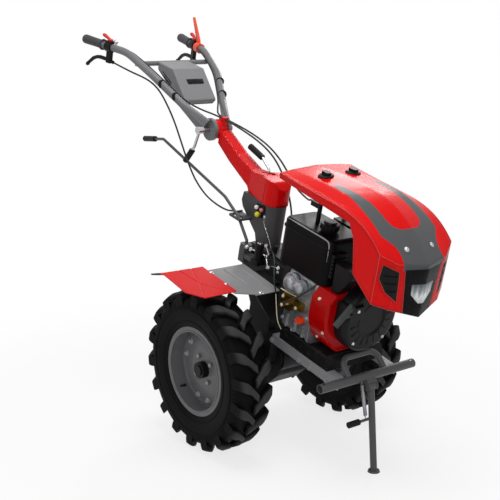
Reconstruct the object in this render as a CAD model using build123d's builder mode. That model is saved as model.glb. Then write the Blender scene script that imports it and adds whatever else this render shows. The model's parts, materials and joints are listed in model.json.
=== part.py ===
"""Two-wheeled diesel walking tractor, parked nose-down on its front stand.

Everything is drawn level, with the origin midway along the wheel axle, +X forward and +Z up.
The finished pieces are then parked: tipped about the axle until the stand's foot meets the floor.
"""

import os
from math import asin, atan2, cos, degrees, hypot, radians, sin, sqrt, tan

from build123d import *

# Wheels
TRACK = 640
TYRE_RADIUS = 300
TYRE_WIDTH = 146
LUG_HEIGHT = 22
LUG_WIDTH = 32
LUG_SWEEP = 60
LUG_COUNT = 18
RIM_RADIUS = 165
RIM_WIDTH = 124
RIM_WALL = 5
RIM_LIP = 13
DISC_SETBACK = 46
DISC_STEP = 14
HUB_RADIUS = 30
HUB_BOLT_CIRCLE = 104
HUB_BOLT_RADIUS = 7
AXLE_RADIUS = 20
JOURNAL_CLEARANCE = 0.25

# Frame, bumper and stand
RAIL_TOP = 165
RAIL_OUTER = 138
RAIL_FLANGE = 38
RAIL_DEPTH = 36
RAIL_WALL = 5
RAIL_REAR = 118
BUMPER_X = 478
BUMPER_Z = 155
BUMPER_LENGTH = 445
BUMPER_RADIUS = 16
TUBE_WALL = 2.5
PIN_HOLE_RADIUS = 5
HOOP_HALF = 84
HOOP_RISE = 52
HOOP_LEAN = 62
HOOP_RADIUS = 11
STAND_PIVOT_X = 502
STAND_PIVOT_Z = 128
STAND_REACH = 95
STAND_DROP = 295
STAND_RADIUS = 12
PEDAL_DROP = 115
PEDAL_LENGTH = 112
PEDAL_RADIUS = 5
FOOT_RADIUS = 22
FOOT_WALL = 7
PARTING = 0.3

# Gearbox and engine
CASE_HALF = 70
CRANK_Z = 355
BELL_RADIUS = 88
ENGINE_REAR = 150
ENGINE_HALF = 142
BASE_TOP = 215
BLOCK_FLANGE = 12
SHROUD_REAR = 300
SHROUD_FRONT = 388
SHROUD_RADIUS = 160
RECOIL_RADIUS = 124
RECOIL_FRONT = 446
HOUSING_RADIUS = 46
DRUM_RADIUS = 50

# Tank and hood
TANK_REAR = 72
TANK_FRONT = 325
TANK_HALF = 140
TANK_FLOOR = 446
TANK_TOP = 612
HOOD_HALF = 166
HOOD_REAR = 48
HOOD_ROOF = 790
HOOD_NOSE = 632
HOOD_WALL = 4
VENT_BACK = 3
NOSE_RUN = 300
SHOULDER_HALF = 112
SHOULDER_DROP = 33
NOSE_TOP = 640
NOSE_BOTTOM = 460

# Mudguards
FENDER_CLEARANCE = 22
FENDER_WALL = 3
FENDER_INNER = 104
FENDER_SEAM = 275
FENDER_OUTER = 450

# Handlebar
SWIVEL_X = -140
POST_RADIUS = 16
POST_HEIGHT = 42
COLUMN_HALF = 38
COLUMN_TOP = 556
COLUMN_WALL = 4
ARM_HALF = 27
ARM_NOSE = 50
COVER_WALL = 4
TILT_X = -545
TILT_Z = 716
BAR_RADIUS = 15
BAR_SPREAD = 174
ROOT_LENGTH = 130
ROOT_THICKNESS = 25
CROSS_RADIUS = 10
CABLE_RADIUS = 3.5

FOOT_X = STAND_PIVOT_X + STAND_REACH
FOOT_Z = STAND_PIVOT_Z - STAND_DROP
PARK_PITCH = asin(TYRE_RADIUS / hypot(FOOT_X, FOOT_Z)) - atan2(-FOOT_Z, FOOT_X)
AXLE_X = 103
PARKED = Location((AXLE_X, 0, TYRE_RADIUS), (0, degrees(PARK_PITCH), 0))
FLOOR_UP = (-sin(PARK_PITCH), 0, cos(PARK_PITCH))

os.makedirs("parts", exist_ok=True)


def write(builder, name):
    """Parks a finished piece and writes it under its node's name."""
    piece = builder.part.moved(PARKED)
    piece.label = name
    export_step(piece, f"parts/{name}.step")


def mirrored(builder):
    """The left-hand twin of a right-hand piece."""
    with BuildPart() as twin:
        add(mirror(builder.part, about=Plane.XZ, mode=Mode.PRIVATE))
    return twin


def rod(points, radius, bends=0):
    """A round bar along straight runs and tangent arcs."""
    with BuildPart() as bar:
        with BuildLine() as path:
            if bends:
                FilletPolyline(*points, radius=bends)
            else:
                Line(*points)
        with BuildSketch(Plane(path.line ^ 0)):
            Circle(radius)
        sweep(path=path.line)
    return bar


def cable(points, radius=CABLE_RADIUS):
    """A sheathed cable whose arcs are as large as its runs allow."""
    stops = [Vector(*point) for point in points]
    bends = []
    for before, here, after in zip(stops, stops[1:], stops[2:]):
        turn = radians((here - before).get_angle(after - here))
        bends.append(0.45 * min((here - before).length, (after - here).length) / tan(turn / 2))
    return rod(points, radius, bends)


# Right wheel, drawn about its own middle with the outer side towards -Y
WHEEL_PLACE = Pos(0, -TRACK / 2, 0)
RIM_HALF = RIM_WIDTH / 2
TYRE_HALF = TYRE_WIDTH / 2
CROWN_RADIUS = TYRE_RADIUS - LUG_HEIGHT
BEAD_RADIUS = RIM_RADIUS - RIM_LIP
DISC_RADIUS = BEAD_RADIUS - DISC_STEP
DISC_FLAT = HUB_BOLT_CIRCLE / 2 + 22
BEAD_HALF = RIM_HALF - RIM_WALL - PARTING
HOUSING_END = 200
HUB_INNER = TRACK / 2 - HOUSING_END - 18
DISC_Y = -RIM_HALF + DISC_SETBACK
AXLE_SEAT = 130
AXLE_INNER = TRACK / 2 - AXLE_SEAT - 2

# Tyre: mitred sectors round the rim, then slanted lugs on each shoulder in turn
SECTORS = 2 * LUG_COUNT
HALF_SECTOR = 180 / SECTORS
SHOULDER_RADIUS = CROWN_RADIUS - 20
BULGE_RADIUS = (RIM_RADIUS + CROWN_RADIUS) / 2 - 8

with BuildPart() as sector:
    with BuildSketch(Plane.YZ):
        with BuildLine():
            Polyline((0, BEAD_RADIUS), (BEAD_HALF, BEAD_RADIUS), (BEAD_HALF, RIM_RADIUS + 2),
                     (TYRE_HALF, BULGE_RADIUS),
                     (TYRE_HALF - 4, SHOULDER_RADIUS), (TYRE_HALF / 2, CROWN_RADIUS), (0, CROWN_RADIUS),
                     close=True)
        make_face()
        mirror(about=Plane.YZ)
    extrude(amount=TYRE_RADIUS / 2, both=True)
    with BuildSketch(Plane.XZ):
        reach = TYRE_RADIUS * tan(radians(HALF_SECTOR))
        with BuildLine():
            Polyline((0, 0), (reach, TYRE_RADIUS), (-reach, TYRE_RADIUS), close=True)
        make_face()
    extrude(amount=TYRE_WIDTH, both=True, mode=Mode.INTERSECT)

with BuildPart() as lug:
    lug_reach = (LUG_SWEEP + LUG_WIDTH) / 2
    lug_top = sqrt(TYRE_RADIUS**2 - lug_reach**2)
    with BuildSketch(Plane.XY.offset(SHOULDER_RADIUS - 16)):
        with BuildLine():
            Polyline((-lug_reach, TYRE_HALF), (-lug_reach + LUG_WIDTH, TYRE_HALF), (lug_reach, -4),
                     (lug_reach - LUG_WIDTH, -4), close=True)
        make_face()
    extrude(amount=TYRE_RADIUS)
    with BuildSketch(Plane.YZ):
        with BuildLine():
            Polyline((-TYRE_HALF, 0), (TYRE_HALF, 0), (TYRE_HALF, lug_top - 14),
                     (0.6 * TYRE_HALF, lug_top),
                     (-TYRE_HALF, lug_top), close=True)
        make_face()
    extrude(amount=TYRE_RADIUS, both=True, mode=Mode.INTERSECT)

with BuildPart() as right_tyre:
    add([sector.part.rotate(Axis.Y, 2 * HALF_SECTOR * step) for step in range(SECTORS)])
    lug_twin = mirror(lug.part, about=Plane.XZ, mode=Mode.PRIVATE)
    add([lug.part.rotate(Axis.Y, 360 * step / LUG_COUNT) for step in range(LUG_COUNT)])
    add([lug_twin.rotate(Axis.Y, 360 * (step + 0.5) / LUG_COUNT) for step in range(LUG_COUNT)])
right_tyre.part = WHEEL_PLACE * right_tyre.part

with BuildPart() as right_rim:
    seat = BEAD_RADIUS - PARTING
    with BuildSketch(Plane.YZ):
        with BuildLine():
            Polyline((-RIM_HALF, RIM_RADIUS), (-RIM_HALF + RIM_WALL, RIM_RADIUS),
                     (-RIM_HALF + RIM_WALL, seat),
                     (RIM_HALF - RIM_WALL, seat), (RIM_HALF - RIM_WALL, RIM_RADIUS),
                     (RIM_HALF, RIM_RADIUS),
                     (RIM_HALF, seat - RIM_WALL), (DISC_Y + 16, seat - RIM_WALL),
                     (DISC_Y + 16, DISC_RADIUS),
                     (DISC_Y + 6, DISC_FLAT), (DISC_Y + 6, HUB_RADIUS + PARTING),
                     (DISC_Y, HUB_RADIUS + PARTING), (DISC_Y, DISC_FLAT),
                     (DISC_Y + 9, DISC_RADIUS), (DISC_Y + 9, seat - RIM_WALL),
                     (-RIM_HALF, seat - RIM_WALL),
                     close=True)
        make_face()
    revolve(axis=Axis.Y)
right_rim.part = WHEEL_PLACE * right_rim.part

with BuildPart() as right_hub:
    flange_radius = HUB_BOLT_CIRCLE / 2 + 13
    with BuildSketch(Plane.YZ):
        with BuildLine():
            Polyline((DISC_Y - 30, 0), (DISC_Y - 30, AXLE_RADIUS), (DISC_Y - 24, AXLE_RADIUS),
                     (DISC_Y - 24, HUB_RADIUS),
                     (DISC_Y + 6, HUB_RADIUS), (DISC_Y + 6, flange_radius),
                     (DISC_Y + 16, flange_radius),
                     (DISC_Y + 16, HUB_RADIUS + 4), (HUB_INNER, HUB_RADIUS + 4),
                     (HUB_INNER, AXLE_RADIUS),
                     (AXLE_INNER, AXLE_RADIUS), (AXLE_INNER, 0), close=True)
        make_face()
    revolve(axis=Axis.Y)
    with BuildSketch(Plane.XZ.offset(-DISC_Y)):
        with PolarLocations(HUB_BOLT_CIRCLE / 2, 4, start_angle=45):
            RegularPolygon(HUB_BOLT_RADIUS + 1, 6)
    extrude(amount=HUB_BOLT_RADIUS)
right_hub.part = WHEEL_PLACE * right_hub.part

for stem, right_piece in (("tyre", right_tyre), ("rim", right_rim), ("hub", right_hub)):
    write(right_piece, f"right_{stem}")
    write(mirrored(right_piece), f"left_{stem}")

# Frame rails: angle bars with slotted top flanges, coped round the bumper
with BuildPart() as right_rail:
    with BuildSketch(Plane.YZ.offset(RAIL_REAR)):
        with BuildLine():
            Polyline((-RAIL_OUTER, RAIL_TOP), (-RAIL_OUTER + RAIL_FLANGE, RAIL_TOP),
                     (-RAIL_OUTER + RAIL_FLANGE, RAIL_TOP - RAIL_WALL),
                     (-RAIL_OUTER + RAIL_WALL, RAIL_TOP - RAIL_WALL),
                     (-RAIL_OUTER + RAIL_WALL, RAIL_TOP - RAIL_DEPTH),
                     (-RAIL_OUTER, RAIL_TOP - RAIL_DEPTH), close=True)
        make_face()
    extrude(amount=BUMPER_X - RAIL_REAR)
    with BuildSketch(Plane.XY.offset(RAIL_TOP)):
        with Locations(*[(x, -RAIL_OUTER + 0.6 * RAIL_FLANGE) for x in (ENGINE_REAR + 40,
                                                                        ENGINE_REAR + 215)]):
            SlotOverall(44, 11)
    extrude(amount=-RAIL_WALL, mode=Mode.SUBTRACT)
    with Locations(Pos(BUMPER_X, -RAIL_OUTER, BUMPER_Z) * Rot(90, 0, 0)):
        Cylinder(BUMPER_RADIUS + 0.1, 4 * RAIL_FLANGE, mode=Mode.SUBTRACT)

with BuildPart() as frame_rails:
    add([right_rail.part, mirror(right_rail.part, about=Plane.XZ, mode=Mode.PRIVATE)])
write(frame_rails, "frame_rails")

# Bumper tube with its hoop, the stand's hinge cheeks and hinge pin
STAND_HALF = 15
CHEEK_WALL = 6
STAND_PIN_RADIUS = 6
hoop = rod([(BUMPER_X, -HOOP_HALF, BUMPER_Z), (BUMPER_X - HOOP_LEAN, -HOOP_HALF, BUMPER_Z + HOOP_RISE),
            (BUMPER_X - HOOP_LEAN, HOOP_HALF, BUMPER_Z + HOOP_RISE), (BUMPER_X, HOOP_HALF, BUMPER_Z)],
           HOOP_RADIUS, 36)
with BuildPart() as front_bumper:
    with Locations(Pos(BUMPER_X, 0, BUMPER_Z) * Rot(90, 0, 0)):
        Cylinder(BUMPER_RADIUS, BUMPER_LENGTH)
    add(hoop.part)
    with BuildSketch(Plane.XZ):
        with Locations((BUMPER_X, BUMPER_Z - BUMPER_RADIUS / 2), (STAND_PIVOT_X, STAND_PIVOT_Z)):
            Circle(BUMPER_RADIUS)
        make_hull()
    extrude(amount=STAND_HALF + CHEEK_WALL, both=True)
    with Locations(Pos(BUMPER_X + 60, 0, STAND_PIVOT_Z - 25)):
        Box(180, 2 * STAND_HALF + 1, 80, mode=Mode.SUBTRACT)
    with Locations(Pos(STAND_PIVOT_X, 0, STAND_PIVOT_Z) * Rot(90, 0, 0)):
        Cylinder(STAND_PIN_RADIUS, 2 * STAND_HALF + 4)
    with Locations(Pos(BUMPER_X, 0, BUMPER_Z) * Rot(90, 0, 0)):
        Cylinder(BUMPER_RADIUS - TUBE_WALL, BUMPER_LENGTH + 2, mode=Mode.SUBTRACT)
    with Locations((BUMPER_X, -BUMPER_LENGTH / 2 + 16, BUMPER_Z),
                   (BUMPER_X, BUMPER_LENGTH / 2 - 16, BUMPER_Z)):
        Cylinder(PIN_HOLE_RADIUS, 4 * BUMPER_RADIUS, mode=Mode.SUBTRACT)
write(front_bumper, "front_bumper")

# Parking stand: eye, leg, foot plate that lies flat on the floor, and the pedal rod
STAND_LEAN = degrees(atan2(STAND_REACH, STAND_DROP))
STAND_LENGTH = hypot(STAND_REACH, STAND_DROP)
STAND_FRAME = Location((STAND_PIVOT_X, 0, STAND_PIVOT_Z), (0, -STAND_LEAN, 0))
with BuildPart() as stand_leg:
    with Locations(STAND_FRAME * Rot(90, 0, 0)):
        Cylinder(14, 2 * STAND_HALF)
    with Locations(STAND_FRAME):
        Cylinder(STAND_RADIUS, STAND_LENGTH - FOOT_WALL + 2, align=(Align.CENTER, Align.CENTER, Align.MAX))
    with Locations(STAND_FRAME * Pos(0, 0, -PEDAL_DROP) * Rot(90, 0, 0)):
        Cylinder(PEDAL_RADIUS, PEDAL_LENGTH - 4, align=(Align.CENTER, Align.CENTER, Align.MIN))
    with BuildSketch(Plane((FOOT_X, 0, FOOT_Z), x_dir=(0, 1, 0), z_dir=FLOOR_UP)):
        Circle(FOOT_RADIUS)
    extrude(amount=FOOT_WALL, taper=20)
    with Locations(STAND_FRAME * Rot(90, 0, 0)):
        Cylinder(STAND_PIN_RADIUS + PARTING, 2 * STAND_HALF + 2, mode=Mode.SUBTRACT)
write(stand_leg, "stand_leg")

with BuildPart() as pedal_grip:
    with Locations(STAND_FRAME * Pos(0, -PEDAL_LENGTH, -PEDAL_DROP) * Rot(-90, 0, 0)):
        Cylinder(11, 48, align=(Align.CENTER, Align.CENTER, Align.MIN))
    with Locations(STAND_FRAME * Pos(0, -PEDAL_LENGTH + 4, -PEDAL_DROP) * Rot(-90, 0, 0)):
        Cylinder(PEDAL_RADIUS + PARTING, 60, align=(Align.CENTER, Align.CENTER, Align.MIN),
                 mode=Mode.SUBTRACT)
write(pedal_grip, "pedal_grip")

# Stand spring between the bumper and the pedal rod
PEDAL_X = STAND_PIVOT_X + PEDAL_DROP * sin(radians(STAND_LEAN))
PEDAL_Z = STAND_PIVOT_Z - PEDAL_DROP * cos(radians(STAND_LEAN))
SPRING_RADIUS = 6
SPRING_Y = -STAND_HALF - CHEEK_WALL - SPRING_RADIUS - 3
spring_way = Vector(PEDAL_X - BUMPER_X, 0, PEDAL_Z - BUMPER_Z).normalized()
spring_top = Vector(BUMPER_X, SPRING_Y, BUMPER_Z) + spring_way * (BUMPER_RADIUS + PARTING)
spring_foot = Vector(PEDAL_X, SPRING_Y, PEDAL_Z) - spring_way * (PEDAL_RADIUS + PARTING)
write(rod([spring_top, spring_foot], SPRING_RADIUS), "stand_spring")

# Gearbox: cast case, rail flange, drive drums, axle housings with their bores
FENDER_Z = TYRE_RADIUS + FENDER_CLEARANCE
CASE_TOP = FENDER_Z + 63
CASE_REAR = -108
FLANGE_REAR = 84
LID_TOP = CASE_TOP + 10
with BuildPart() as gearbox:
    with BuildSketch(Plane.XZ):
        with BuildLine():
            Polyline((-62, -98), (58, -98), (112, -30), (112, 250), (60, 300), (60, CASE_TOP),
                     (-190, CASE_TOP),
                     (-190, 290), (CASE_REAR, 170), (CASE_REAR, -50), close=True)
        make_face()
        fillet([v for v in vertices() if v.Y < 280], 22)
    extrude(amount=CASE_HALF, both=True)
    with Locations((FLANGE_REAR, 0, RAIL_TOP)):
        Box(RAIL_REAR - FLANGE_REAR, 2 * RAIL_OUTER, 120, align=(Align.MIN, Align.CENTER, Align.MAX))
    with Locations((-20, 0, FENDER_Z)):
        Box(110, 2 * FENDER_INNER + 40, 14, align=(Align.CENTER, Align.CENTER, Align.MAX))
    with Locations(Rot(90, 0, 0)):
        Cylinder(HOUSING_RADIUS + 16, 2 * CASE_HALF + 60)
        Cylinder(HOUSING_RADIUS, 2 * HOUSING_END)
        Cylinder(HOUSING_RADIUS + 6, 2 * HOUSING_END - 90)
    with Locations(Pos(RAIL_REAR, 0, 60) * Rot(90, 0, 0)):
        Cylinder(DRUM_RADIUS, 2 * CASE_HALF + 68)
        Cylinder(DRUM_RADIUS - 14, 2 * CASE_HALF + 76)
    with BuildSketch(Plane.XY.offset(CASE_TOP)):
        with Locations((-16, 0)):
            RectangleRounded(124, 104, 16)
    extrude(amount=LID_TOP - CASE_TOP)
    with Locations((-62, -32, LID_TOP), (-14, -26, LID_TOP), (24, -34, LID_TOP)):
        Cylinder(11, 26, align=(Align.CENTER, Align.CENTER, Align.MIN))
    with Locations(Pos(0, -HOUSING_END, 0) * Rot(90, 0, 0), Pos(0, HOUSING_END, 0) * Rot(90, 0, 0)):
        Cylinder(AXLE_RADIUS + JOURNAL_CLEARANCE, 2 * (HOUSING_END - AXLE_SEAT), mode=Mode.SUBTRACT)
write(gearbox, "gearbox")

with BuildPart() as clutch_bell:
    with BuildSketch(Plane.YZ.offset(60)):
        with Locations((0, CRANK_Z)):
            Circle(BELL_RADIUS)
    extrude(amount=ENGINE_REAR - 60)
    with BuildSketch(Plane.YZ.offset(ENGINE_REAR - 14)):
        with Locations((0, CRANK_Z)):
            Circle(BELL_RADIUS + 2)
    extrude(amount=14)
    with BuildSketch(Plane.XZ):
        with BuildLine():
            Polyline((60, 300), (112, 250), (112, 200), (60, 200), close=True)
        make_face()
    extrude(amount=200, both=True, mode=Mode.SUBTRACT)
write(clutch_bell, "clutch_bell")

# Hitch clevis behind the gearbox, with an upright pin bore
HITCH_X = -168
HITCH_Z = 40
HITCH_DEPTH = 90
HITCH_GAP = 50
HITCH_HALF = 35
HITCH_PIN_RADIUS = 10
with BuildPart() as rear_hitch:
    with BuildSketch(Plane.XY.offset(HITCH_Z - HITCH_DEPTH / 2)):
        with Locations((HITCH_X, 0)):
            Circle(24)
        with Locations((CASE_REAR, 0)):
            Rectangle(14, 2 * HITCH_HALF, align=(Align.MAX, Align.CENTER))
        make_hull()
    extrude(amount=HITCH_DEPTH)
    with Locations((CASE_REAR - 14, 0, HITCH_Z)):
        Box(120, 80, HITCH_GAP, align=(Align.MAX, Align.CENTER, Align.CENTER), mode=Mode.SUBTRACT)
    with Locations((HITCH_X, 0, HITCH_Z)):
        Cylinder(HITCH_PIN_RADIUS, 2 * HITCH_DEPTH, mode=Mode.SUBTRACT)
write(rear_hitch, "rear_hitch")

# Gear selector beside the case: bracket with its cap and the upright detent housing
TOWER_X = -163
TOWER_Y = -87
TOWER_TOP = CASE_TOP + 10
with BuildPart() as gear_tower:
    with Locations((TOWER_X, -CASE_HALF, FENDER_Z + 4)):
        Box(30, 36, TOWER_TOP - FENDER_Z - 14, align=(Align.CENTER, Align.MAX, Align.MIN))
    with BuildSketch(Plane.XY.offset(TOWER_TOP - 12)):
        with Locations((TOWER_X, TOWER_Y)):
            RectangleRounded(40, 34, 8)
    extrude(amount=12)
    with Locations((TOWER_X, -CASE_HALF, FENDER_Z + 24)):
        Box(96, 34, 16, align=(Align.MIN, Align.MAX, Align.MIN))
    with Locations((-86, TOWER_Y, FENDER_Z + 40)):
        Cylinder(16, 64, align=(Align.CENTER, Align.CENTER, Align.MIN))
        Cylinder(11, 72, align=(Align.CENTER, Align.CENTER, Align.MIN))
write(gear_tower, "gear_tower")

# Engine
with BuildPart() as engine_base:
    with BuildSketch(Plane.XZ):
        with BuildLine():
            Polyline((ENGINE_REAR, RAIL_TOP), (410, RAIL_TOP), (392, BASE_TOP), (ENGINE_REAR, BASE_TOP),
                     close=True)
        make_face()
    extrude(amount=RAIL_OUTER - 4, both=True)
    fillet(edges().filter_by(Axis.X).group_by(Axis.Z)[-1], 12)
write(engine_base, "engine_base")

# Crankcase: rounded casting with a fan flange, side covers and stiffening ribs
BLOCK_MID = (BASE_TOP + TANK_FLOOR) / 2
with BuildPart() as engine_block:
    with BuildSketch(Plane.YZ.offset(ENGINE_REAR)):
        with Locations((0, BLOCK_MID)):
            RectangleRounded(2 * ENGINE_HALF - 12, TANK_FLOOR - BASE_TOP, 24)
    extrude(amount=SHROUD_REAR - ENGINE_REAR)
    with BuildSketch(Plane.YZ.offset(SHROUD_REAR - BLOCK_FLANGE)):
        with Locations((0, BLOCK_MID)):
            RectangleRounded(2 * ENGINE_HALF + 8, TANK_FLOOR - BASE_TOP, 26)
    extrude(amount=BLOCK_FLANGE)
    with Locations(Pos(185, -ENGINE_HALF + 8, 402) * Rot(90, 0, 0),
                   Pos(235, -ENGINE_HALF + 8, 405) * Rot(90, 0, 0)):
        Cylinder(27, 34, align=(Align.CENTER, Align.CENTER, Align.MIN))
    with Locations(Pos(185, -ENGINE_HALF + 8, 402) * Rot(90, 0, 0)):
        Cylinder(36, 24, align=(Align.CENTER, Align.CENTER, Align.MIN))
    with Locations(*[(x, 0, BASE_TOP + 12) for x in (176, 220, 264)]):
        Box(7, 2 * ENGINE_HALF + 2, 46, align=(Align.CENTER, Align.CENTER, Align.MIN))
write(engine_block, "engine_block")

BLOCK_SIDE = -ENGINE_HALF + 6
with BuildPart() as injection_pump:
    with BuildSketch(Plane.XZ.offset(-BLOCK_SIDE)):
        with BuildLine():
            Polyline((152, 296), (196, 296), (206, 318), (252, 318), (252, 346), (212, 346), (204, 362),
                     (152, 362),
                     close=True)
        make_face()
        fillet(vertices(), 4)
    extrude(amount=16)
    with BuildSketch(Plane.XZ.offset(-BLOCK_SIDE + 16)):
        with Locations((166, 312), (166, 346), (192, 330)):
            Circle(9)
        with Locations((238, 332)):
            Circle(11)
    extrude(amount=14)
write(injection_pump, "injection_pump")

with BuildPart() as oil_cap:
    with BuildSketch(Plane.XZ.offset(-BLOCK_SIDE)):
        with Locations((250, 286)):
            Circle(13)
    extrude(amount=18)
    with BuildSketch(Plane.XZ.offset(-BLOCK_SIDE + 18)):
        with Locations((250, 286)):
            Rectangle(22, 6)
    extrude(amount=8)
write(oil_cap, "oil_cap")

# Finned cylinder and head on the far side of the tank, with the muffler on its face
HEAD_INNER = 26
HEAD_OUTER = 124
MUFFLER_WIDTH = 40
with BuildPart() as cylinder_head:
    with Locations((ENGINE_REAR, HEAD_INNER, TANK_FLOOR)):
        Box(135, HEAD_OUTER - HEAD_INNER, TANK_TOP - TANK_FLOOR,
            align=(Align.MIN, Align.MIN, Align.MIN))
    for level in range(6):
        with Locations((ENGINE_REAR - 10, HEAD_INNER, TANK_FLOOR + 16 + 20 * level)):
            Box(155, 18, 8, align=(Align.MIN, Align.CENTER, Align.MIN), mode=Mode.SUBTRACT)
        with Locations((ENGINE_REAR - 10, HEAD_OUTER, TANK_FLOOR + 16 + 20 * level)):
            Box(155, 24, 8, align=(Align.MIN, Align.CENTER, Align.MIN), mode=Mode.SUBTRACT)
write(cylinder_head, "cylinder_head")

with BuildPart() as muffler:
    with BuildSketch(Plane.YZ.offset(ENGINE_REAR - 30)):
        with Locations((HEAD_OUTER + MUFFLER_WIDTH / 2, 520)):
            RectangleRounded(MUFFLER_WIDTH, 90, 18)
    extrude(amount=190)
    fillet(edges().group_by(Axis.X)[0] + edges().group_by(Axis.X)[-1], 8)
    with Locations(Pos(ENGINE_REAR - 22, HEAD_OUTER + MUFFLER_WIDTH / 2, 520) * Rot(0, -90, 0)):
        Cylinder(13, 40, align=(Align.CENTER, Align.CENTER, Align.MIN))
        Cylinder(10, 60, align=(Align.CENTER, Align.CENTER, Align.MIN), mode=Mode.SUBTRACT)
write(muffler, "muffler")

SHROUD_TOP = TANK_FLOOR - 4
with BuildPart() as fan_shroud:
    with BuildSketch(Plane.YZ.offset(SHROUD_REAR)):
        with Locations((0, CRANK_Z)):
            Circle(SHROUD_RADIUS)
        with BuildLine():
            Polyline((-SHROUD_RADIUS, CRANK_Z), (-SHROUD_RADIUS, SHROUD_TOP - 30),
                     (-SHROUD_RADIUS + 30, SHROUD_TOP),
                     (0, SHROUD_TOP), (0, CRANK_Z), close=True)
        make_face()
        with Locations((0, SHROUD_TOP), (0, BASE_TOP - 200)):
            Rectangle(4 * SHROUD_RADIUS, 200, align=(Align.CENTER, Align.MIN), mode=Mode.SUBTRACT)
    extrude(amount=SHROUD_FRONT - SHROUD_REAR)
    fillet(edges().group_by(Axis.X)[-1], 9)
write(fan_shroud, "fan_shroud")

# Recoil starter: domed pan turned about the crank, rope guide and pull handle
with BuildPart() as recoil_starter:
    with BuildSketch(Plane.XZ):
        with BuildLine():
            Polyline((SHROUD_FRONT, CRANK_Z), (SHROUD_FRONT, CRANK_Z + RECOIL_RADIUS),
                     (RECOIL_FRONT - 22, CRANK_Z + RECOIL_RADIUS))
            RadiusArc((RECOIL_FRONT - 22, CRANK_Z + RECOIL_RADIUS),
                      (RECOIL_FRONT - 2, CRANK_Z + RECOIL_RADIUS - 20), 20)
            Polyline((RECOIL_FRONT - 2, CRANK_Z + RECOIL_RADIUS - 20), (RECOIL_FRONT, CRANK_Z + 58),
                     (RECOIL_FRONT - 4, CRANK_Z + 54), (RECOIL_FRONT - 4, CRANK_Z),
                     (SHROUD_FRONT, CRANK_Z))
        make_face()
    revolve(axis=Axis((0, 0, CRANK_Z), (1, 0, 0)))
    with Locations((SHROUD_FRONT, -92, CRANK_Z + 45)):
        Box(RECOIL_FRONT + 12 - SHROUD_FRONT, 62, 48, align=(Align.MIN, Align.CENTER, Align.CENTER))
    with Locations(Pos(RECOIL_FRONT + 8, -150, CRANK_Z + 50) * Rot(-44, 0, 0)):
        Cylinder(11, 92)
    with Locations(Pos(RECOIL_FRONT + 8, -138, CRANK_Z + 46) * Rot(90, 0, 0)):
        Cylinder(7, 50)
write(recoil_starter, "recoil_starter")

# Fuel tank with its welded seam, filler neck and knurled cap
CAP_X = 240
CAP_Y = -75
CAP_RADIUS = 34
NECK_HEIGHT = 8
with BuildPart() as fuel_tank:
    with BuildSketch(Plane.XY.offset(TANK_FLOOR)):
        with Locations((TANK_REAR, -TANK_HALF)):
            RectangleRounded(TANK_FRONT - TANK_REAR, TANK_HALF + 20, 30, align=(Align.MIN, Align.MIN))
    extrude(amount=TANK_TOP - TANK_FLOOR)
    fillet(edges().group_by(Axis.Z)[-1], 14)
    with BuildSketch(Plane.XY.offset(TANK_TOP)):
        with Locations((CAP_X, CAP_Y)):
            Circle(CAP_RADIUS - 6)
    extrude(amount=NECK_HEIGHT)
    with BuildSketch(Plane.XY.offset(TANK_TOP - 34)):
        with Locations((TANK_REAR - 4, -TANK_HALF - 4)):
            RectangleRounded(TANK_FRONT - TANK_REAR + 4, TANK_HALF + 24, 32,
                             align=(Align.MIN, Align.MIN))
    extrude(amount=4)
write(fuel_tank, "fuel_tank")

with BuildPart() as tank_cap:
    with BuildSketch(Plane.XY.offset(TANK_TOP + NECK_HEIGHT)):
        with Locations((CAP_X, CAP_Y)):
            Circle(CAP_RADIUS)
            with PolarLocations(CAP_RADIUS + 2, 14):
                Circle(5, mode=Mode.SUBTRACT)
    extrude(amount=20)
    with BuildSketch(Plane.XY.offset(TANK_TOP + NECK_HEIGHT + 20)):
        with Locations((CAP_X, CAP_Y)):
            Circle(CAP_RADIUS - 10)
    extrude(amount=8, taper=20)
write(tank_cap, "tank_cap")

with BuildPart() as regulator:
    with Locations((TANK_FRONT, -95, 525)):
        Box(13, 62, 84, align=(Align.MIN, Align.CENTER, Align.CENTER))
    for rib in range(5):
        with Locations((TANK_FRONT + 6, -95, 497 + 14 * rib)):
            Box(10, 80, 6, align=(Align.MIN, Align.CENTER, Align.CENTER), mode=Mode.SUBTRACT)
write(regulator, "regulator")

# Air cleaner: a box that widens upwards from the shroud
CLEANER_X = 386
CLEANER_Y = -101
with BuildPart() as air_cleaner:
    with BuildSketch(Plane.XY.offset(SHROUD_TOP)):
        with Locations((CLEANER_X - 26, CLEANER_Y)):
            RectangleRounded(32, 44, 8)
    with BuildSketch(Plane.XY.offset(SHROUD_TOP + 70)):
        with Locations((CLEANER_X, CLEANER_Y)):
            RectangleRounded(84, 54, 12)
    loft()
    with BuildSketch(Plane.XY.offset(SHROUD_TOP + 70)):
        with Locations((CLEANER_X, CLEANER_Y)):
            RectangleRounded(84, 54, 12)
    extrude(amount=34)
write(air_cleaner, "air_cleaner")

# Hood: a ruled shell through five side profiles, open below and behind
# Each row: half-width, nose setback, roof drop, rear drop, brow height, foot height, how late the nose falls
HOOD_STATIONS = [(0, 0, 0, 14, NOSE_TOP, NOSE_BOTTOM, 2.1),
                 (SHOULDER_HALF, 30, SHOULDER_DROP / 3, 10, NOSE_TOP + 10, NOSE_BOTTOM + 30, 2.2),
                 (HOOD_HALF, 66, SHOULDER_DROP, -5, NOSE_TOP + 36, NOSE_BOTTOM + 45, 3.4)]
HOOD_LEFT = [(-half, *rest) for half, *rest in reversed(HOOD_STATIONS[1:])]


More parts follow.
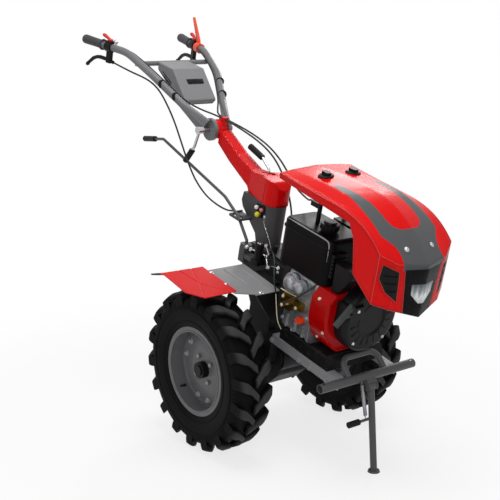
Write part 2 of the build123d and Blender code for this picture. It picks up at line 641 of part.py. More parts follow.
def hood_solid(inset):
    """The hood's full outline, or with an inset the space inside it."""
    with BuildPart() as solid:
        for half, setback, drop, rear, brow, foot, power in HOOD_LEFT + HOOD_STATIONS:
            side = max(-HOOD_HALF + inset, min(HOOD_HALF - inset, half))
            nose = HOOD_NOSE - setback - inset
            roof = HOOD_ROOF - drop - inset
            fall = roof - brow + inset
            runs = [0.27 * NOSE_RUN, 0.5 * NOSE_RUN, 0.7 * NOSE_RUN, 0.87 * NOSE_RUN, NOSE_RUN]
            brows = [(nose - NOSE_RUN + run, roof - fall * (run / NOSE_RUN) ** power) for run in runs]
            with BuildSketch(Plane.XZ.offset(-side)):
                with BuildLine():
                    Spline((HOOD_REAR, roof - rear), (HOOD_REAR + 125, roof - rear / 4),
                           (HOOD_REAR + 230, roof), *brows)
                    Line(brows[-1], (nose + 3, foot))
                    if inset:
                        Polyline((nose + 3, foot), (nose + 3, foot - 90), (HOOD_REAR, foot - 90),
                                 (HOOD_REAR, roof - rear))
                    else:
                        Polyline((nose + 3, foot), (HOOD_NOSE - 164, NOSE_BOTTOM + 107),
                                 (HOOD_NOSE - 191, NOSE_BOTTOM + 220),
                                 (HOOD_NOSE - 221, NOSE_BOTTOM + 262),
                                 (HOOD_REAR, HOOD_ROOF - 48), (HOOD_REAR, roof - rear))
                make_face()
        loft(ruled=True)
    return solid.part


def prism(outline, gap=0, start=500):
    """A block with the given front-view outline, moved in by a gap all round, running forward."""
    with BuildPart() as block:
        with BuildSketch(Plane.YZ.offset(start)):
            with BuildLine():
                Polyline(*outline, close=True)
            make_face()
            if gap:
                offset(amount=-gap, kind=Kind.INTERSECTION, mode=Mode.REPLACE)
        extrude(amount=HOOD_NOSE + 50 - start)
    return block.part


hood_outer = hood_solid(0)
hood_inner = hood_solid(HOOD_WALL)
vent_inner = hood_solid(HOOD_WALL + VENT_BACK)
NOSE_OUTLINE = [(-82, 630), (82, 630), (56, 430), (-56, 430)]
LAMP_OUTLINE = [(-50, 578), (50, 578), (46, 542), (14, 510), (-14, 510), (-46, 542)]
VENT_OUTLINE = [(-152, 644), (-102, 622), (-94, 518), (-134, 552), (-156, 596)]
VENT_PITCH = 26
VENT_SLOT = 9
STAY_Y = 57
STAY_X = 566
STAY_TOP = 660
STAY_FOOT = SHROUD_FRONT - 24
POST_X = 165
POST_Y = 63
POST_TOP = 750

with BuildPart() as bosses:
    with Locations((STAY_X, -STAY_Y, STAY_TOP), (STAY_X, STAY_Y, STAY_TOP), (POST_X, -POST_Y, POST_TOP),
                   (POST_X, POST_Y, POST_TOP)):
        Cylinder(11, 200, align=(Align.CENTER, Align.CENTER, Align.MIN))
    add(hood_outer, mode=Mode.INTERSECT)

vent_windows = [prism(VENT_OUTLINE), prism([(-y, z) for y, z in VENT_OUTLINE])]
nose_window = prism(NOSE_OUTLINE)
nose_fill = prism(NOSE_OUTLINE, PARTING)
lamp_window = prism(LAMP_OUTLINE)
lamp_fill = prism(LAMP_OUTLINE, PARTING, HOOD_NOSE - 45)
vent_fill = prism(VENT_OUTLINE, PARTING)
vent_rim = prism(VENT_OUTLINE, 8)

with BuildPart() as hood:
    add(hood_outer)
    add(hood_inner, mode=Mode.SUBTRACT)
    add([nose_window, *vent_windows], mode=Mode.SUBTRACT)
    add(bosses.part)
write(hood, "hood")

with BuildPart() as nose_panel:
    add(hood_outer)
    add(hood_inner, mode=Mode.SUBTRACT)
    add(nose_fill, mode=Mode.INTERSECT)
    add(lamp_window, mode=Mode.SUBTRACT)
write(nose_panel, "nose_panel")

with BuildPart() as headlamp:
    add(hood_outer)
    add(lamp_fill, mode=Mode.INTERSECT)
write(headlamp, "headlamp")

# Side vents: framed louvres in the nose's flanks, closed behind
with BuildPart() as vent_slots:
    for row in range(5):
        with Locations((HOOD_NOSE - 60, -125, VENT_OUTLINE[2][1] + 14 + VENT_PITCH * row)):
            Box(300, 120, VENT_SLOT)
    add(vent_rim, mode=Mode.INTERSECT)
    add(hood_inner, mode=Mode.SUBTRACT)

with BuildPart() as right_vent:
    add(hood_outer)
    add(vent_inner, mode=Mode.SUBTRACT)
    add(vent_fill, mode=Mode.INTERSECT)
    add(vent_slots.part, mode=Mode.SUBTRACT)

with BuildPart() as side_vents:
    add([right_vent.part, mirror(right_vent.part, about=Plane.XZ, mode=Mode.PRIVATE)])
write(side_vents, "side_vents")

# Hood supports: bent stays in front, posts with a cable stop and roof pads behind
right_stay = rod([(STAY_FOOT, -STAY_Y, SHROUD_TOP), (STAY_FOOT, -STAY_Y, 560), (STAY_X, -STAY_Y, 600),
                  (STAY_X, -STAY_Y, STAY_TOP)], 7, 30)
with BuildPart() as hood_stays:
    add([right_stay.part, mirror(right_stay.part, about=Plane.XZ, mode=Mode.PRIVATE)])
write(hood_stays, "hood_stays")

STOP_X = POST_X - 47
STOP_Y = -48
STOP_Z = 668
with BuildPart() as hood_posts:
    with Locations((POST_X, -POST_Y, TANK_TOP), (POST_X, POST_Y, TANK_TOP)):
        Cylinder(8, POST_TOP - TANK_TOP, align=(Align.CENTER, Align.CENTER, Align.MIN))
    with Locations((POST_X, -POST_Y, STOP_Z)):
        Box(POST_X - STOP_X, 6, 18, align=(Align.MAX, Align.CENTER, Align.CENTER))
    with Locations((STOP_X, -POST_Y - 3, STOP_Z)):
        Box(5, STOP_Y + POST_Y + 13, 18, align=(Align.MIN, Align.MIN, Align.CENTER))
write(hood_posts, "hood_posts")

with BuildPart() as hood_pads:
    with BuildSketch(Plane.XY.offset(HOOD_ROOF - 24)):
        with Locations((POST_X, -POST_Y), (POST_X, POST_Y)):
            RectangleRounded(34, 24, 8)
    extrude(amount=32)
    add(hood_outer, mode=Mode.SUBTRACT)
write(hood_pads, "hood_pads")

# Handlebar column: a folded sheet-steel box, rounded in front, with a window and a swivel post
COLUMN_SIDE = [(-281, COLUMN_TOP), (-288, COLUMN_TOP - 34), (-276, COLUMN_TOP - 58),
               (-182, CASE_TOP + 40),
               (-166, CASE_TOP), (SWIVEL_X + 54, CASE_TOP), (SWIVEL_X + 54, COLUMN_TOP)]
GUIDE_X = -241
GUIDE_Y = -78
GUIDE_Z = 470
STOP_REACH = 40


def column_block(inset):
    """The column's outline, or with an inset the space inside it."""
    with BuildPart() as block:
        with BuildSketch(Plane.XZ):
            with BuildLine():
                Polyline(*COLUMN_SIDE, close=True)
            make_face()
            fillet(vertices().group_by(Axis.X)[0], 12)
            if inset:
                offset(amount=-inset, kind=Kind.INTERSECTION, mode=Mode.REPLACE)
        extrude(amount=2 * COLUMN_HALF, both=True)
        with BuildSketch(Plane.XY.offset(CASE_TOP - 20)):
            with Locations((SWIVEL_X + 12, 0)):
                Circle(COLUMN_HALF - inset)
                Rectangle(300, 2 * COLUMN_HALF - 2 * inset, align=(Align.MAX, Align.CENTER))
        extrude(amount=COLUMN_TOP - CASE_TOP + 40, mode=Mode.INTERSECT)
    return block.part


with BuildPart() as column:
    add(column_block(0))
    add(column_block(COLUMN_WALL), mode=Mode.SUBTRACT)
    with BuildSketch(Plane.XZ.offset(COLUMN_HALF)):
        with Locations((-166, COLUMN_TOP - 37)):
            Rectangle(54, 52, rotation=9)
    extrude(amount=-2 * COLUMN_WALL, mode=Mode.SUBTRACT)
    with BuildSketch(Plane.XY.offset(CASE_TOP)):
        with Locations((-132, 0)):
            RectangleRounded(96, 106, 12)
    extrude(amount=7)
    with Locations((SWIVEL_X, 0, COLUMN_TOP - COLUMN_WALL)):
        Cylinder(POST_RADIUS, POST_HEIGHT + COLUMN_WALL, align=(Align.CENTER, Align.CENTER, Align.MIN))
    with BuildSketch(Plane.XY.offset(GUIDE_Z - 4)):
        with Locations((GUIDE_X - 6, -COLUMN_HALF + COLUMN_WALL)):
            RectangleRounded(68, COLUMN_WALL - COLUMN_HALF - GUIDE_Y + 19, 6,
                             align=(Align.CENTER, Align.MAX))
        with Locations((GUIDE_X - 6, GUIDE_Y)):
            SlotOverall(56, 22, mode=Mode.SUBTRACT)
    extrude(amount=8)
    with Locations((GUIDE_X - STOP_REACH, -COLUMN_HALF + COLUMN_WALL, GUIDE_Z)):
        Box(5, 28, 20, align=(Align.MIN, Align.MAX, Align.CENTER))
write(column, "column")

# Swivelling arm: steel core on the post, tilt knuckle and cable stop at its far end
KNUCKLE_RADIUS = 38
KNUCKLE_HALF = 26
TILT_PIN_RADIUS = 8
CLAMP_Y = 72
ARM_FLOOR = COLUMN_TOP + PARTING
CORE_HALF = ARM_HALF - COVER_WALL - PARTING
CORE_TOP = ARM_FLOOR + 70
SADDLE_X = TILT_X + 15
SADDLE_Z = TILT_Z + KNUCKLE_RADIUS + 8
with BuildPart() as arm_core:
    with BuildSketch(Plane.XZ):
        with BuildLine():
            Polyline((SWIVEL_X - 20, ARM_FLOOR), (-258, ARM_FLOOR), (-270, 588), (-409, 643),
                     (-500, 692), (TILT_X, TILT_Z - 22),
                     (TILT_X, TILT_Z + 24), (-372, 661), (-262, CORE_TOP), (SWIVEL_X - 20, CORE_TOP),
                     close=True)
        make_face()
    extrude(amount=CORE_HALF, both=True)
    with Locations((SWIVEL_X, 0, ARM_FLOOR)):
        Cylinder(ARM_NOSE - COVER_WALL - 16, 56, align=(Align.CENTER, Align.CENTER, Align.MIN))
    with Locations(Pos(TILT_X, 0, TILT_Z) * Rot(90, 0, 0)):
        Cylinder(KNUCKLE_RADIUS, 2 * KNUCKLE_HALF)
        Cylinder(TILT_PIN_RADIUS, 2 * CLAMP_Y)
    with Locations((SADDLE_X, 13, SADDLE_Z + 8)):
        Box(18, 24, 40, align=(Align.MIN, Align.CENTER, Align.MAX))
    with Locations((SWIVEL_X, 0, ARM_FLOOR)):
        Cylinder(POST_RADIUS + PARTING, POST_HEIGHT + PARTING,
                 align=(Align.CENTER, Align.CENTER, Align.MIN),
                 mode=Mode.SUBTRACT)
write(arm_core, "arm_core")

COVER_SIDE = [(-494, 677), (-409, 631), (-281, 577), (-268, ARM_FLOOR), (-100, ARM_FLOOR), (-88, 586),
              (-90, 622),
              (-112, 652), (-186, 657), (-236, 644), (-272, 643), (-372, 674), (-494, 727)]


def cover_block(inset):
    """The arm cover's outline: its side view within its bottle-shaped plan."""
    with BuildPart() as block:
        with BuildSketch(Plane.XZ):
            with BuildLine():
                Polyline(*COVER_SIDE, close=True)
            make_face()
            fillet([v for v in vertices() if v.Y > ARM_FLOOR + 1 and v.X > -480], 14)
            if inset:
                offset(amount=-inset, kind=Kind.INTERSECTION, mode=Mode.REPLACE)
                with BuildLine():
                    Polyline((-264, ARM_FLOOR - 20), (-264, 600), (-108, 600), (-108, ARM_FLOOR - 20),
                             close=True)
                make_face()
                with Locations((-490, 702)):
                    Rectangle(80, 42 - 2 * inset, rotation=-27)
        extrude(amount=2 * ARM_NOSE, both=True)
        with BuildSketch(Plane.XY.offset(ARM_FLOOR - 30)):
            with Locations((SWIVEL_X, 0)):
                Circle(ARM_NOSE - inset)
            with Locations((-520, 0)):
                Rectangle(360, 2 * (ARM_HALF - inset), align=(Align.MIN, Align.CENTER))
            with BuildLine():
                Polyline((-270, ARM_HALF - inset), (SWIVEL_X - 14, ARM_NOSE - inset - 1),
                         (SWIVEL_X - 14, -ARM_NOSE + inset + 1),
                         (-270, -ARM_HALF + inset), close=True)
            make_face()
        extrude(amount=240, mode=Mode.INTERSECT)
    return block.part


with BuildPart() as arm_cover:
    add(cover_block(0))
    add(cover_block(COVER_WALL), mode=Mode.SUBTRACT)
    with BuildSketch(Plane.XY.offset(600)):
        with Locations((-206, 6)):
            SlotOverall(66, 16)
    extrude(amount=80, mode=Mode.SUBTRACT)
write(arm_cover, "arm_cover")

# Arm controls: tilt clamp lever on the pin, swivel lock lever through the cover's slot
YOKE_WALL = 14
YOKE_INNER = KNUCKLE_HALF + PARTING
clamp_rod = rod([(TILT_X, -84, TILT_Z), (-566, -84, 640), (-612, -82, 572)], 6, 60)
clamp_grip = rod([(-578, -83.5, 622), (-616, -81.8, 566)], 12)
with BuildPart() as clamp_lever:
    with Locations(Pos(TILT_X, -CLAMP_Y, TILT_Z) * Rot(90, 0, 0)):
        Cylinder(15, 24, align=(Align.CENTER, Align.CENTER, Align.MIN))
    add([clamp_rod.part, clamp_grip.part])
write(clamp_lever, "clamp_lever")

swivel_rod = rod([(-206, 6, CORE_TOP), (-206, 6, 664), (-262, 13, 692), (-345, 16, 708)], 5, 16)
swivel_grip = rod([(-266, 13, 692.8), (-347, 16, 708.4)], 12)
with BuildPart() as swivel_lever:
    add([swivel_rod.part, swivel_grip.part])
write(swivel_lever, "swivel_lever")

# Handlebar: two bent tubes welded to yoke plates and a cross tube
YOKE_RADIUS = 44
BAR_POINTS = [(TILT_X - 10, -52, TILT_Z + 9), (-800, -160, 866), (-950, -190, 918), (-1204, -240, 912)]
CROSS_X = -903
CROSS_Z = 884
right_bar = rod(BAR_POINTS, BAR_RADIUS, 200)
BAR_ROOT = Vector(*BAR_POINTS[0])
BAR_WAY = (Vector(*BAR_POINTS[1]) - BAR_ROOT).normalized()
BAR_SIDE = BAR_WAY.cross(Vector(0, 0, 1)).normalized()
with BuildPart() as right_root:
    with BuildSketch(Plane(BAR_ROOT, x_dir=BAR_SIDE, z_dir=BAR_WAY)):
        Ellipse(ROOT_THICKNESS / 2, 0.8 * YOKE_RADIUS)
    with BuildSketch(Plane(BAR_ROOT + BAR_WAY * ROOT_LENGTH, x_dir=BAR_SIDE, z_dir=BAR_WAY)):
        Circle(BAR_RADIUS + 0.5)
    loft()
with BuildPart() as handlebar:
    add([right_bar.part, mirror(right_bar.part, about=Plane.XZ, mode=Mode.PRIVATE)])
    add([right_root.part, mirror(right_root.part, about=Plane.XZ, mode=Mode.PRIVATE)])
    with Locations(Pos(CROSS_X, 0, CROSS_Z) * Rot(90, 0, 0)):
        Cylinder(CROSS_RADIUS, 2 * BAR_SPREAD)
    with Locations(Pos(TILT_X, -YOKE_INNER, TILT_Z) * Rot(90, 0, 0),
                   Pos(TILT_X, YOKE_INNER + YOKE_WALL, TILT_Z) * Rot(90, 0, 0)):
        Cylinder(YOKE_RADIUS, YOKE_WALL, align=(Align.CENTER, Align.CENTER, Align.MIN))
    with Locations(Pos(TILT_X, 0, TILT_Z) * Rot(90, 0, 0)):
        Cylinder(YOKE_RADIUS + 12, 2 * YOKE_INNER, mode=Mode.SUBTRACT)
        Cylinder(TILT_PIN_RADIUS + PARTING, 200, mode=Mode.SUBTRACT)
write(handlebar, "handlebar")

# Hand grips and controls, each placed along the straight end of its bar
with BuildLine():
    grip_run = Line(BAR_POINTS[2], BAR_POINTS[3])
GRIP_WAY = grip_run % 0
GRIP_SIDE = Vector(0, 0, 1).cross(GRIP_WAY).normalized()
GRIP_UP = GRIP_WAY.cross(GRIP_SIDE)
GRIP_RADIUS = 19
GRIP_LENGTH = 118


def along_bar(distance):
    """A plane on the right bar's straight end, its X axis towards the rider."""
    return Plane(grip_run @ 0 + GRIP_WAY * distance, x_dir=GRIP_WAY, z_dir=GRIP_UP)


def both_sides(builder, name):
    """Writes a right-hand piece and its left-hand twin as one node."""
    with BuildPart() as pair:
        add([builder.part, mirror(builder.part, about=Plane.XZ, mode=Mode.PRIVATE)])
    write(pair, name)


BAR_END = grip_run.length
with BuildPart() as right_grip:
    with Locations(along_bar(BAR_END + 3).location * Rot(0, -90, 0)):
        Cylinder(GRIP_RADIUS, GRIP_LENGTH, align=(Align.CENTER, Align.CENTER, Align.MIN))
    with Locations(along_bar(BAR_END).location * Rot(0, -90, 0)):
        Cylinder(BAR_RADIUS + PARTING, GRIP_LENGTH, align=(Align.CENTER, Align.CENTER, Align.MIN),
                 mode=Mode.SUBTRACT)
    for ring in range(7):
        with Locations(along_bar(BAR_END - 10 - 15 * ring).location * Rot(0, -90, 0)):
            Cylinder(GRIP_RADIUS + 1, 4, mode=Mode.SUBTRACT)
            Cylinder(GRIP_RADIUS - 1.5, 6)
            Cylinder(BAR_RADIUS + PARTING, 8, mode=Mode.SUBTRACT)
both_sides(right_grip, "hand_grips")

# Clutch lever perches: clamp, hanging bracket, cable barrel and curved lever
PERCH_AT = 104
CLAMP_RADIUS = 21
CLAMP_HALF = 17
BOSS_TOP = 24
BARREL = [(-1062, -212, 861), (-1026, -204, 857)]
clutch_rod = rod([(-1052, -210, 860), (-1108, -217, 862), (-1154, -223, 846), (-1194, -228, 806)], 6,
                 [60, 40])
cable_barrel = rod(BARREL, 7)
with BuildPart() as right_perch:
    with Locations(along_bar(PERCH_AT).location * Rot(0, 90, 0)):
        Cylinder(CLAMP_RADIUS, 2 * CLAMP_HALF)
    with Locations(along_bar(PERCH_AT).location):
        Box(2 * CLAMP_HALF, 24, BOSS_TOP, align=(Align.CENTER, Align.CENTER, Align.MIN))
        Box(24, 16, 66, align=(Align.CENTER, Align.CENTER, Align.MAX))
    with Locations(along_bar(PERCH_AT).location * Rot(0, 90, 0)):
        Cylinder(BAR_RADIUS + PARTING, 80, mode=Mode.SUBTRACT)
    add([clutch_rod.part, cable_barrel.part])
both_sides(right_perch, "clutch_levers")

with BuildPart() as right_throttle:
    with Locations(along_bar(PERCH_AT).location * Pos(0, 0, BOSS_TOP)):
        Cylinder(11, 7, align=(Align.CENTER, Align.CENTER, Align.MIN))
    with Locations(along_bar(PERCH_AT).location * Pos(0, 0, BOSS_TOP + 3.5) * Rot(0, -20, 0)):
        Box(46, 13, 6, align=(Align.MIN, Align.CENTER, Align.CENTER))
both_sides(right_throttle, "throttle_levers")

# Reverse lever: a tapered blade on its own clamp on the left bar
REVERSE_AT = 56
left_plane = along_bar(REVERSE_AT)
with BuildPart() as reverse_lever:
    with Locations(left_plane.location * Rot(0, 90, 0)):
        Cylinder(CLAMP_RADIUS, 2 * CLAMP_HALF)
    with BuildSketch(Plane(left_plane.origin, x_dir=GRIP_WAY, z_dir=-GRIP_SIDE)):
        with BuildLine():
            Polyline((-8, 12), (16, 12), (88, 110), (80, 116), (2, 34), close=True)
        make_face()
        fillet(vertices().sort_by(Axis.Y)[-2:], 3)
    extrude(amount=4, both=True)
    with Locations(left_plane.location * Rot(0, 90, 0)):
        Cylinder(BAR_RADIUS + PARTING, 80, mode=Mode.SUBTRACT)
write(mirrored(reverse_lever), "reverse_lever")

# Console between the bars
CONSOLE_HALF = 76
CONSOLE_REAR = CROSS_X + CROSS_RADIUS + 0.1
with BuildPart() as console:
    with BuildSketch(Plane.XZ):
        with BuildLine():
            Polyline((-672, 792), (-784, 892), (CONSOLE_REAR, 893), (CONSOLE_REAR, 862), (-800, 815),
                     (-690, 772), close=True)
        make_face()
        fillet(vertices().group_by(Axis.X)[-1], 10)
        fillet(vertices().sort_by(Axis.Y)[-3:-2], 16)
    extrude(amount=CONSOLE_HALF, both=True)
    fillet(faces().sort_by(Axis.Y)[0].edges() + faces().sort_by(Axis.Y)[-1].edges(), 6)
    with BuildSketch(Plane((-728, 0, 842), x_dir=(0, 1, 0), z_dir=(100, 0, 112))):
        with Locations((8, 8)):
            SlotOverall(78, 13)
    extrude(amount=-5, mode=Mode.SUBTRACT)
write(console, "console")

# Mudguards: ribbed inner plate on its bracket, creased outer plate
with BuildPart() as inner_fender:
    with BuildSketch(Plane.XY.offset(FENDER_Z)):
        with BuildLine():
            Polyline((-140, -FENDER_INNER), (94, -FENDER_INNER - 12), (94, -210),
                     (52, -FENDER_SEAM - 15),
                     (-140, -FENDER_SEAM - 15), close=True)
        make_face()
        fillet(vertices().group_by(Axis.X)[-1], 10)
    extrude(amount=FENDER_WALL)
    with BuildSketch(Plane.XY.offset(FENDER_Z + FENDER_WALL)):
        with Locations((-47, -208), (-42, -148)):
            SlotOverall(160, 9)
    extrude(amount=3, taper=35)
    with BuildSketch(Plane.YZ.offset(FLANGE_REAR + 3)):
        with BuildLine():
            Polyline((-FENDER_INNER - 14, FENDER_Z), (-225, FENDER_Z), (-RAIL_OUTER, RAIL_TOP + 40),
                     (-RAIL_OUTER, RAIL_TOP), (-FENDER_INNER - 4, RAIL_TOP), close=True)
        make_face()
    extrude(amount=4)
both_sides(inner_fender, "inner_fenders")

OUTER_Z = FENDER_Z + FENDER_WALL
creases = [rod([(-190, -382, OUTER_Z + 5), (-60, -368, OUTER_Z + 5), (8, -332, OUTER_Z + 5),
                (60, -270, OUTER_Z + 5)], 4, 80),
           rod([(-190, -318, OUTER_Z + 5), (-60, -366, OUTER_Z + 5), (60, -420, OUTER_Z + 5)], 4, 200)]
with BuildPart() as outer_fender:
    with BuildSketch(Plane.XY.offset(OUTER_Z)):
        with BuildLine():
            Polyline((-168, -FENDER_SEAM), (46, -FENDER_SEAM), (49, -414), (-11, -FENDER_OUTER - 7),
                     (-160, -FENDER_OUTER),
                     (-176, -FENDER_OUTER - 40), (-183, -FENDER_OUTER - 40), (-174, -FENDER_OUTER + 6),
                     close=True)
        make_face()
        fillet(vertices().group_by(Axis.X)[-2:][0], 8)
    extrude(amount=FENDER_WALL)
    add([crease.part for crease in creases], mode=Mode.SUBTRACT)
both_sides(outer_fender, "outer_fenders")

# Gear shift: rod from the selector through its guide up to the grip
SHIFT_RADIUS = 6
SHIFT_END = (-1020, -10, 519)
shift_rod = rod([(TOWER_X, TOWER_Y, TOWER_TOP), (TOWER_X, TOWER_Y, TOWER_TOP + 12),
                 (GUIDE_X, GUIDE_Y, GUIDE_Z),
                 (-350, -70, 512), (-866, -25, 569), SHIFT_END], SHIFT_RADIUS, [10, 60, 60, 40])
write(shift_rod, "shift_rod")

with BuildPart() as shift_grip:
    with BuildLine():
        shift_run = Line((-866, -25, 569), SHIFT_END)
    with BuildSketch(Plane(shift_run @ 0.45, z_dir=shift_run % 0)):
        Circle(12)
        Circle(SHIFT_RADIUS + PARTING, mode=Mode.SUBTRACT)
    extrude(amount=0.55 * shift_run.length)
    with BuildSketch(Plane(SHIFT_END, z_dir=shift_run % 0)):
        Circle(12)
    extrude(amount=6)
write(shift_grip, "shift_grip")

# Cables from the hand controls over the yoke to the arm's saddle
right_cable = cable([(-1012, -181, 920), (-960, -169, 920), (-905, -160, 907), (-848, -148, 888),
                     (-785, -132, 862),
                     (-720, -104, 826), (-660, -76, 793), (-614, -36, 774), (-576, 8, SADDLE_Z),
                     (SADDLE_X, 8, SADDLE_Z)])
left_cable = cable([(-983, 175, 922), (-955, 168, 919), (-905, 160, 907), (-848, 148, 888),
                    (-785, 132, 862),
                    (-720, 104, 826), (-660, 76, 793), (-614, 42, 774), (-576, 18, SADDLE_Z),
                    (SADDLE_X, 18, SADDLE_Z)])
with BuildPart() as bar_cables:
    add([right_cable.part, left_cable.part])
write(bar_cables, "bar_cables")

# Cables from the saddle in a free arc to the gearbox lid and the tank post
SADDLE_FRONT = SADDLE_X + 18
lid_cable = cable([(SADDLE_FRONT, 8, SADDLE_Z), (-466, 8, SADDLE_Z), (-415, 24, 750), (-362, 40, 736),
                   (-310, 52, 719),
                   (-262, 60, 697), (-217, 64, 666), (-176, 63, 630), (-138, 59, 590), (-105, 53, 548),
                   (-80, 45, 503),
                   (-62, 36, 458), (-54, 31, 420), (-54, 31, LID_TOP)])
post_cable = cable([(SADDLE_FRONT, 18, SADDLE_Z), (-466, 18, SADDLE_Z), (-415, 36, 753),
                    (-360, 53, 740), (-304, 65, 724),
                    (-252, 72, 702), (-200, 70, 678), (-150, 60, 656), (-98, 44, 641), (-42, 26, 635),
                    (10, 6, 638),
                    (52, -18, 648), (82, STOP_Y + 6, 660), (STOP_X - 20, STOP_Y, STOP_Z),
                    (STOP_X, STOP_Y, STOP_Z)])
with BuildPart() as engine_cables:
    add([lid_cable.part, post_cable.part])
write(engine_cables, "engine_cables")

# Clutch cable hanging from the right lever to the column, in an upper and a lower stretch
DROP_MEET = (-576, -109, 594)
drop_upper = cable([BARREL[1], (-968.4, -191.2, 850.6), (-908, -180, 842), (-850, -166, 834),
                    (-800, -155, 820),
                    (-754, -146, 796), (-704, -136, 750), (-658, -127, 702), (-616, -118, 648),
                    DROP_MEET])
write(drop_upper, "drop_cable_upper")
drop_lower = cable([DROP_MEET, (-536, -100, 540), (-496, -89, 502), (-452, -78, 474), (-398, -68, 460),
                    (-345, -60, 457),
                    (-316, -54, 464), (GUIDE_X - STOP_REACH - 16, -51, GUIDE_Z),
                    (GUIDE_X - STOP_REACH, -51, GUIDE_Z)])
write(drop_lower, "drop_cable_lower")
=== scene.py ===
import json
import math
import bmesh
import bpy
from mathutils import Matrix, Vector
from mathutils.bvhtree import BVHTree


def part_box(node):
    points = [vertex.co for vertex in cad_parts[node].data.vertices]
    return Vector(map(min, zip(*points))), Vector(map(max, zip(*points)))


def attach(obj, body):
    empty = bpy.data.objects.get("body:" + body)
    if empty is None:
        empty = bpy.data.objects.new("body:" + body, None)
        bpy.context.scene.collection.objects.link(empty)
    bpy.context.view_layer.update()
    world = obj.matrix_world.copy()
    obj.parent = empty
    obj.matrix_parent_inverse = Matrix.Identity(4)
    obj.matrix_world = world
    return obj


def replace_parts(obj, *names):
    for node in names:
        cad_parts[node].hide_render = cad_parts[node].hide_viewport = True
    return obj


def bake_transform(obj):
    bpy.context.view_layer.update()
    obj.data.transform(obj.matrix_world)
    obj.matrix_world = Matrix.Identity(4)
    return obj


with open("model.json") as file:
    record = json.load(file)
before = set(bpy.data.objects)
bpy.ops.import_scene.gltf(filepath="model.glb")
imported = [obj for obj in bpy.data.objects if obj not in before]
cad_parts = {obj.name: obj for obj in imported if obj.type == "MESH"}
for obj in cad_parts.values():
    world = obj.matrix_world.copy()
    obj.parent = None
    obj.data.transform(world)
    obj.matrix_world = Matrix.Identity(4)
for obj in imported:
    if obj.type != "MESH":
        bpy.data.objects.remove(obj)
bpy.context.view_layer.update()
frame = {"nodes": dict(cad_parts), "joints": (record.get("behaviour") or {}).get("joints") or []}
nodes = frame["nodes"]
scene = bpy.context.scene
scene.view_settings.view_transform = "Standard"
millimetre = 0.001

# the tractor is drawn level in mm about its axle, then parked on the stand
swivelAxis = [joint["axis"] for joint in frame["joints"] if joint["name"] == "arm_swivel"][0]
pitch = math.atan2(swivelAxis[0], swivelAxis[2])
tyreLow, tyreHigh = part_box("right_tyre")
axlePoint = Vector(((tyreLow.x + tyreHigh.x) / 2, 0, (tyreLow.z + tyreHigh.z) / 2))
park = Matrix.Translation(axlePoint) @ Matrix.Rotation(pitch, 4, "Y")
turn = park.to_3x3()


def at(x, y, z):
    return park @ (Vector((x, y, z)) * millimetre)


def along(x, y, z):
    return (turn @ Vector((x, y, z))).normalized()


def tint(code):  # a written screen colour as linear light
    parts = [int(code[i:i + 2], 16) / 255 for i in (0, 2, 4)]
    return [c / 12.92 if c <= 0.04045 else ((c + 0.055) / 1.055) ** 2.4 for c in parts] + [1]


# shader maths: a Wire is one socket, and sums of Wires add Math nodes
class Wire:
    def __init__(self, finish, socket):
        self.finish = finish
        self.socket = socket

    def maths(self, operation, first, second=0.5, clamp=False):
        settings = {"operation": operation, "use_clamp": clamp}
        return self.finish.add("ShaderNodeMath", settings, {0: first, 1: second})

    def __add__(self, other):
        return self.maths("ADD", self, other)

    def __radd__(self, other):
        return self.maths("ADD", other, self)

    def __sub__(self, other):
        return self.maths("SUBTRACT", self, other)

    def __rsub__(self, other):
        return self.maths("SUBTRACT", other, self)

    def __mul__(self, other):
        return self.maths("MULTIPLY", self, other)

    def __rmul__(self, other):
        return self.maths("MULTIPLY", other, self)

    def __truediv__(self, other):
        return self.maths("DIVIDE", self, other)

    def __rtruediv__(self, other):
        return self.maths("DIVIDE", other, self)

    def __pow__(self, other):
        return self.maths("POWER", self, other)

    def __abs__(self):
        return self.maths("ABSOLUTE", self)

    def held(self):  # kept between 0 and 1
        return self.maths("ADD", self, 0, True)

    def wave(self):
        return self.maths("SINE", self)


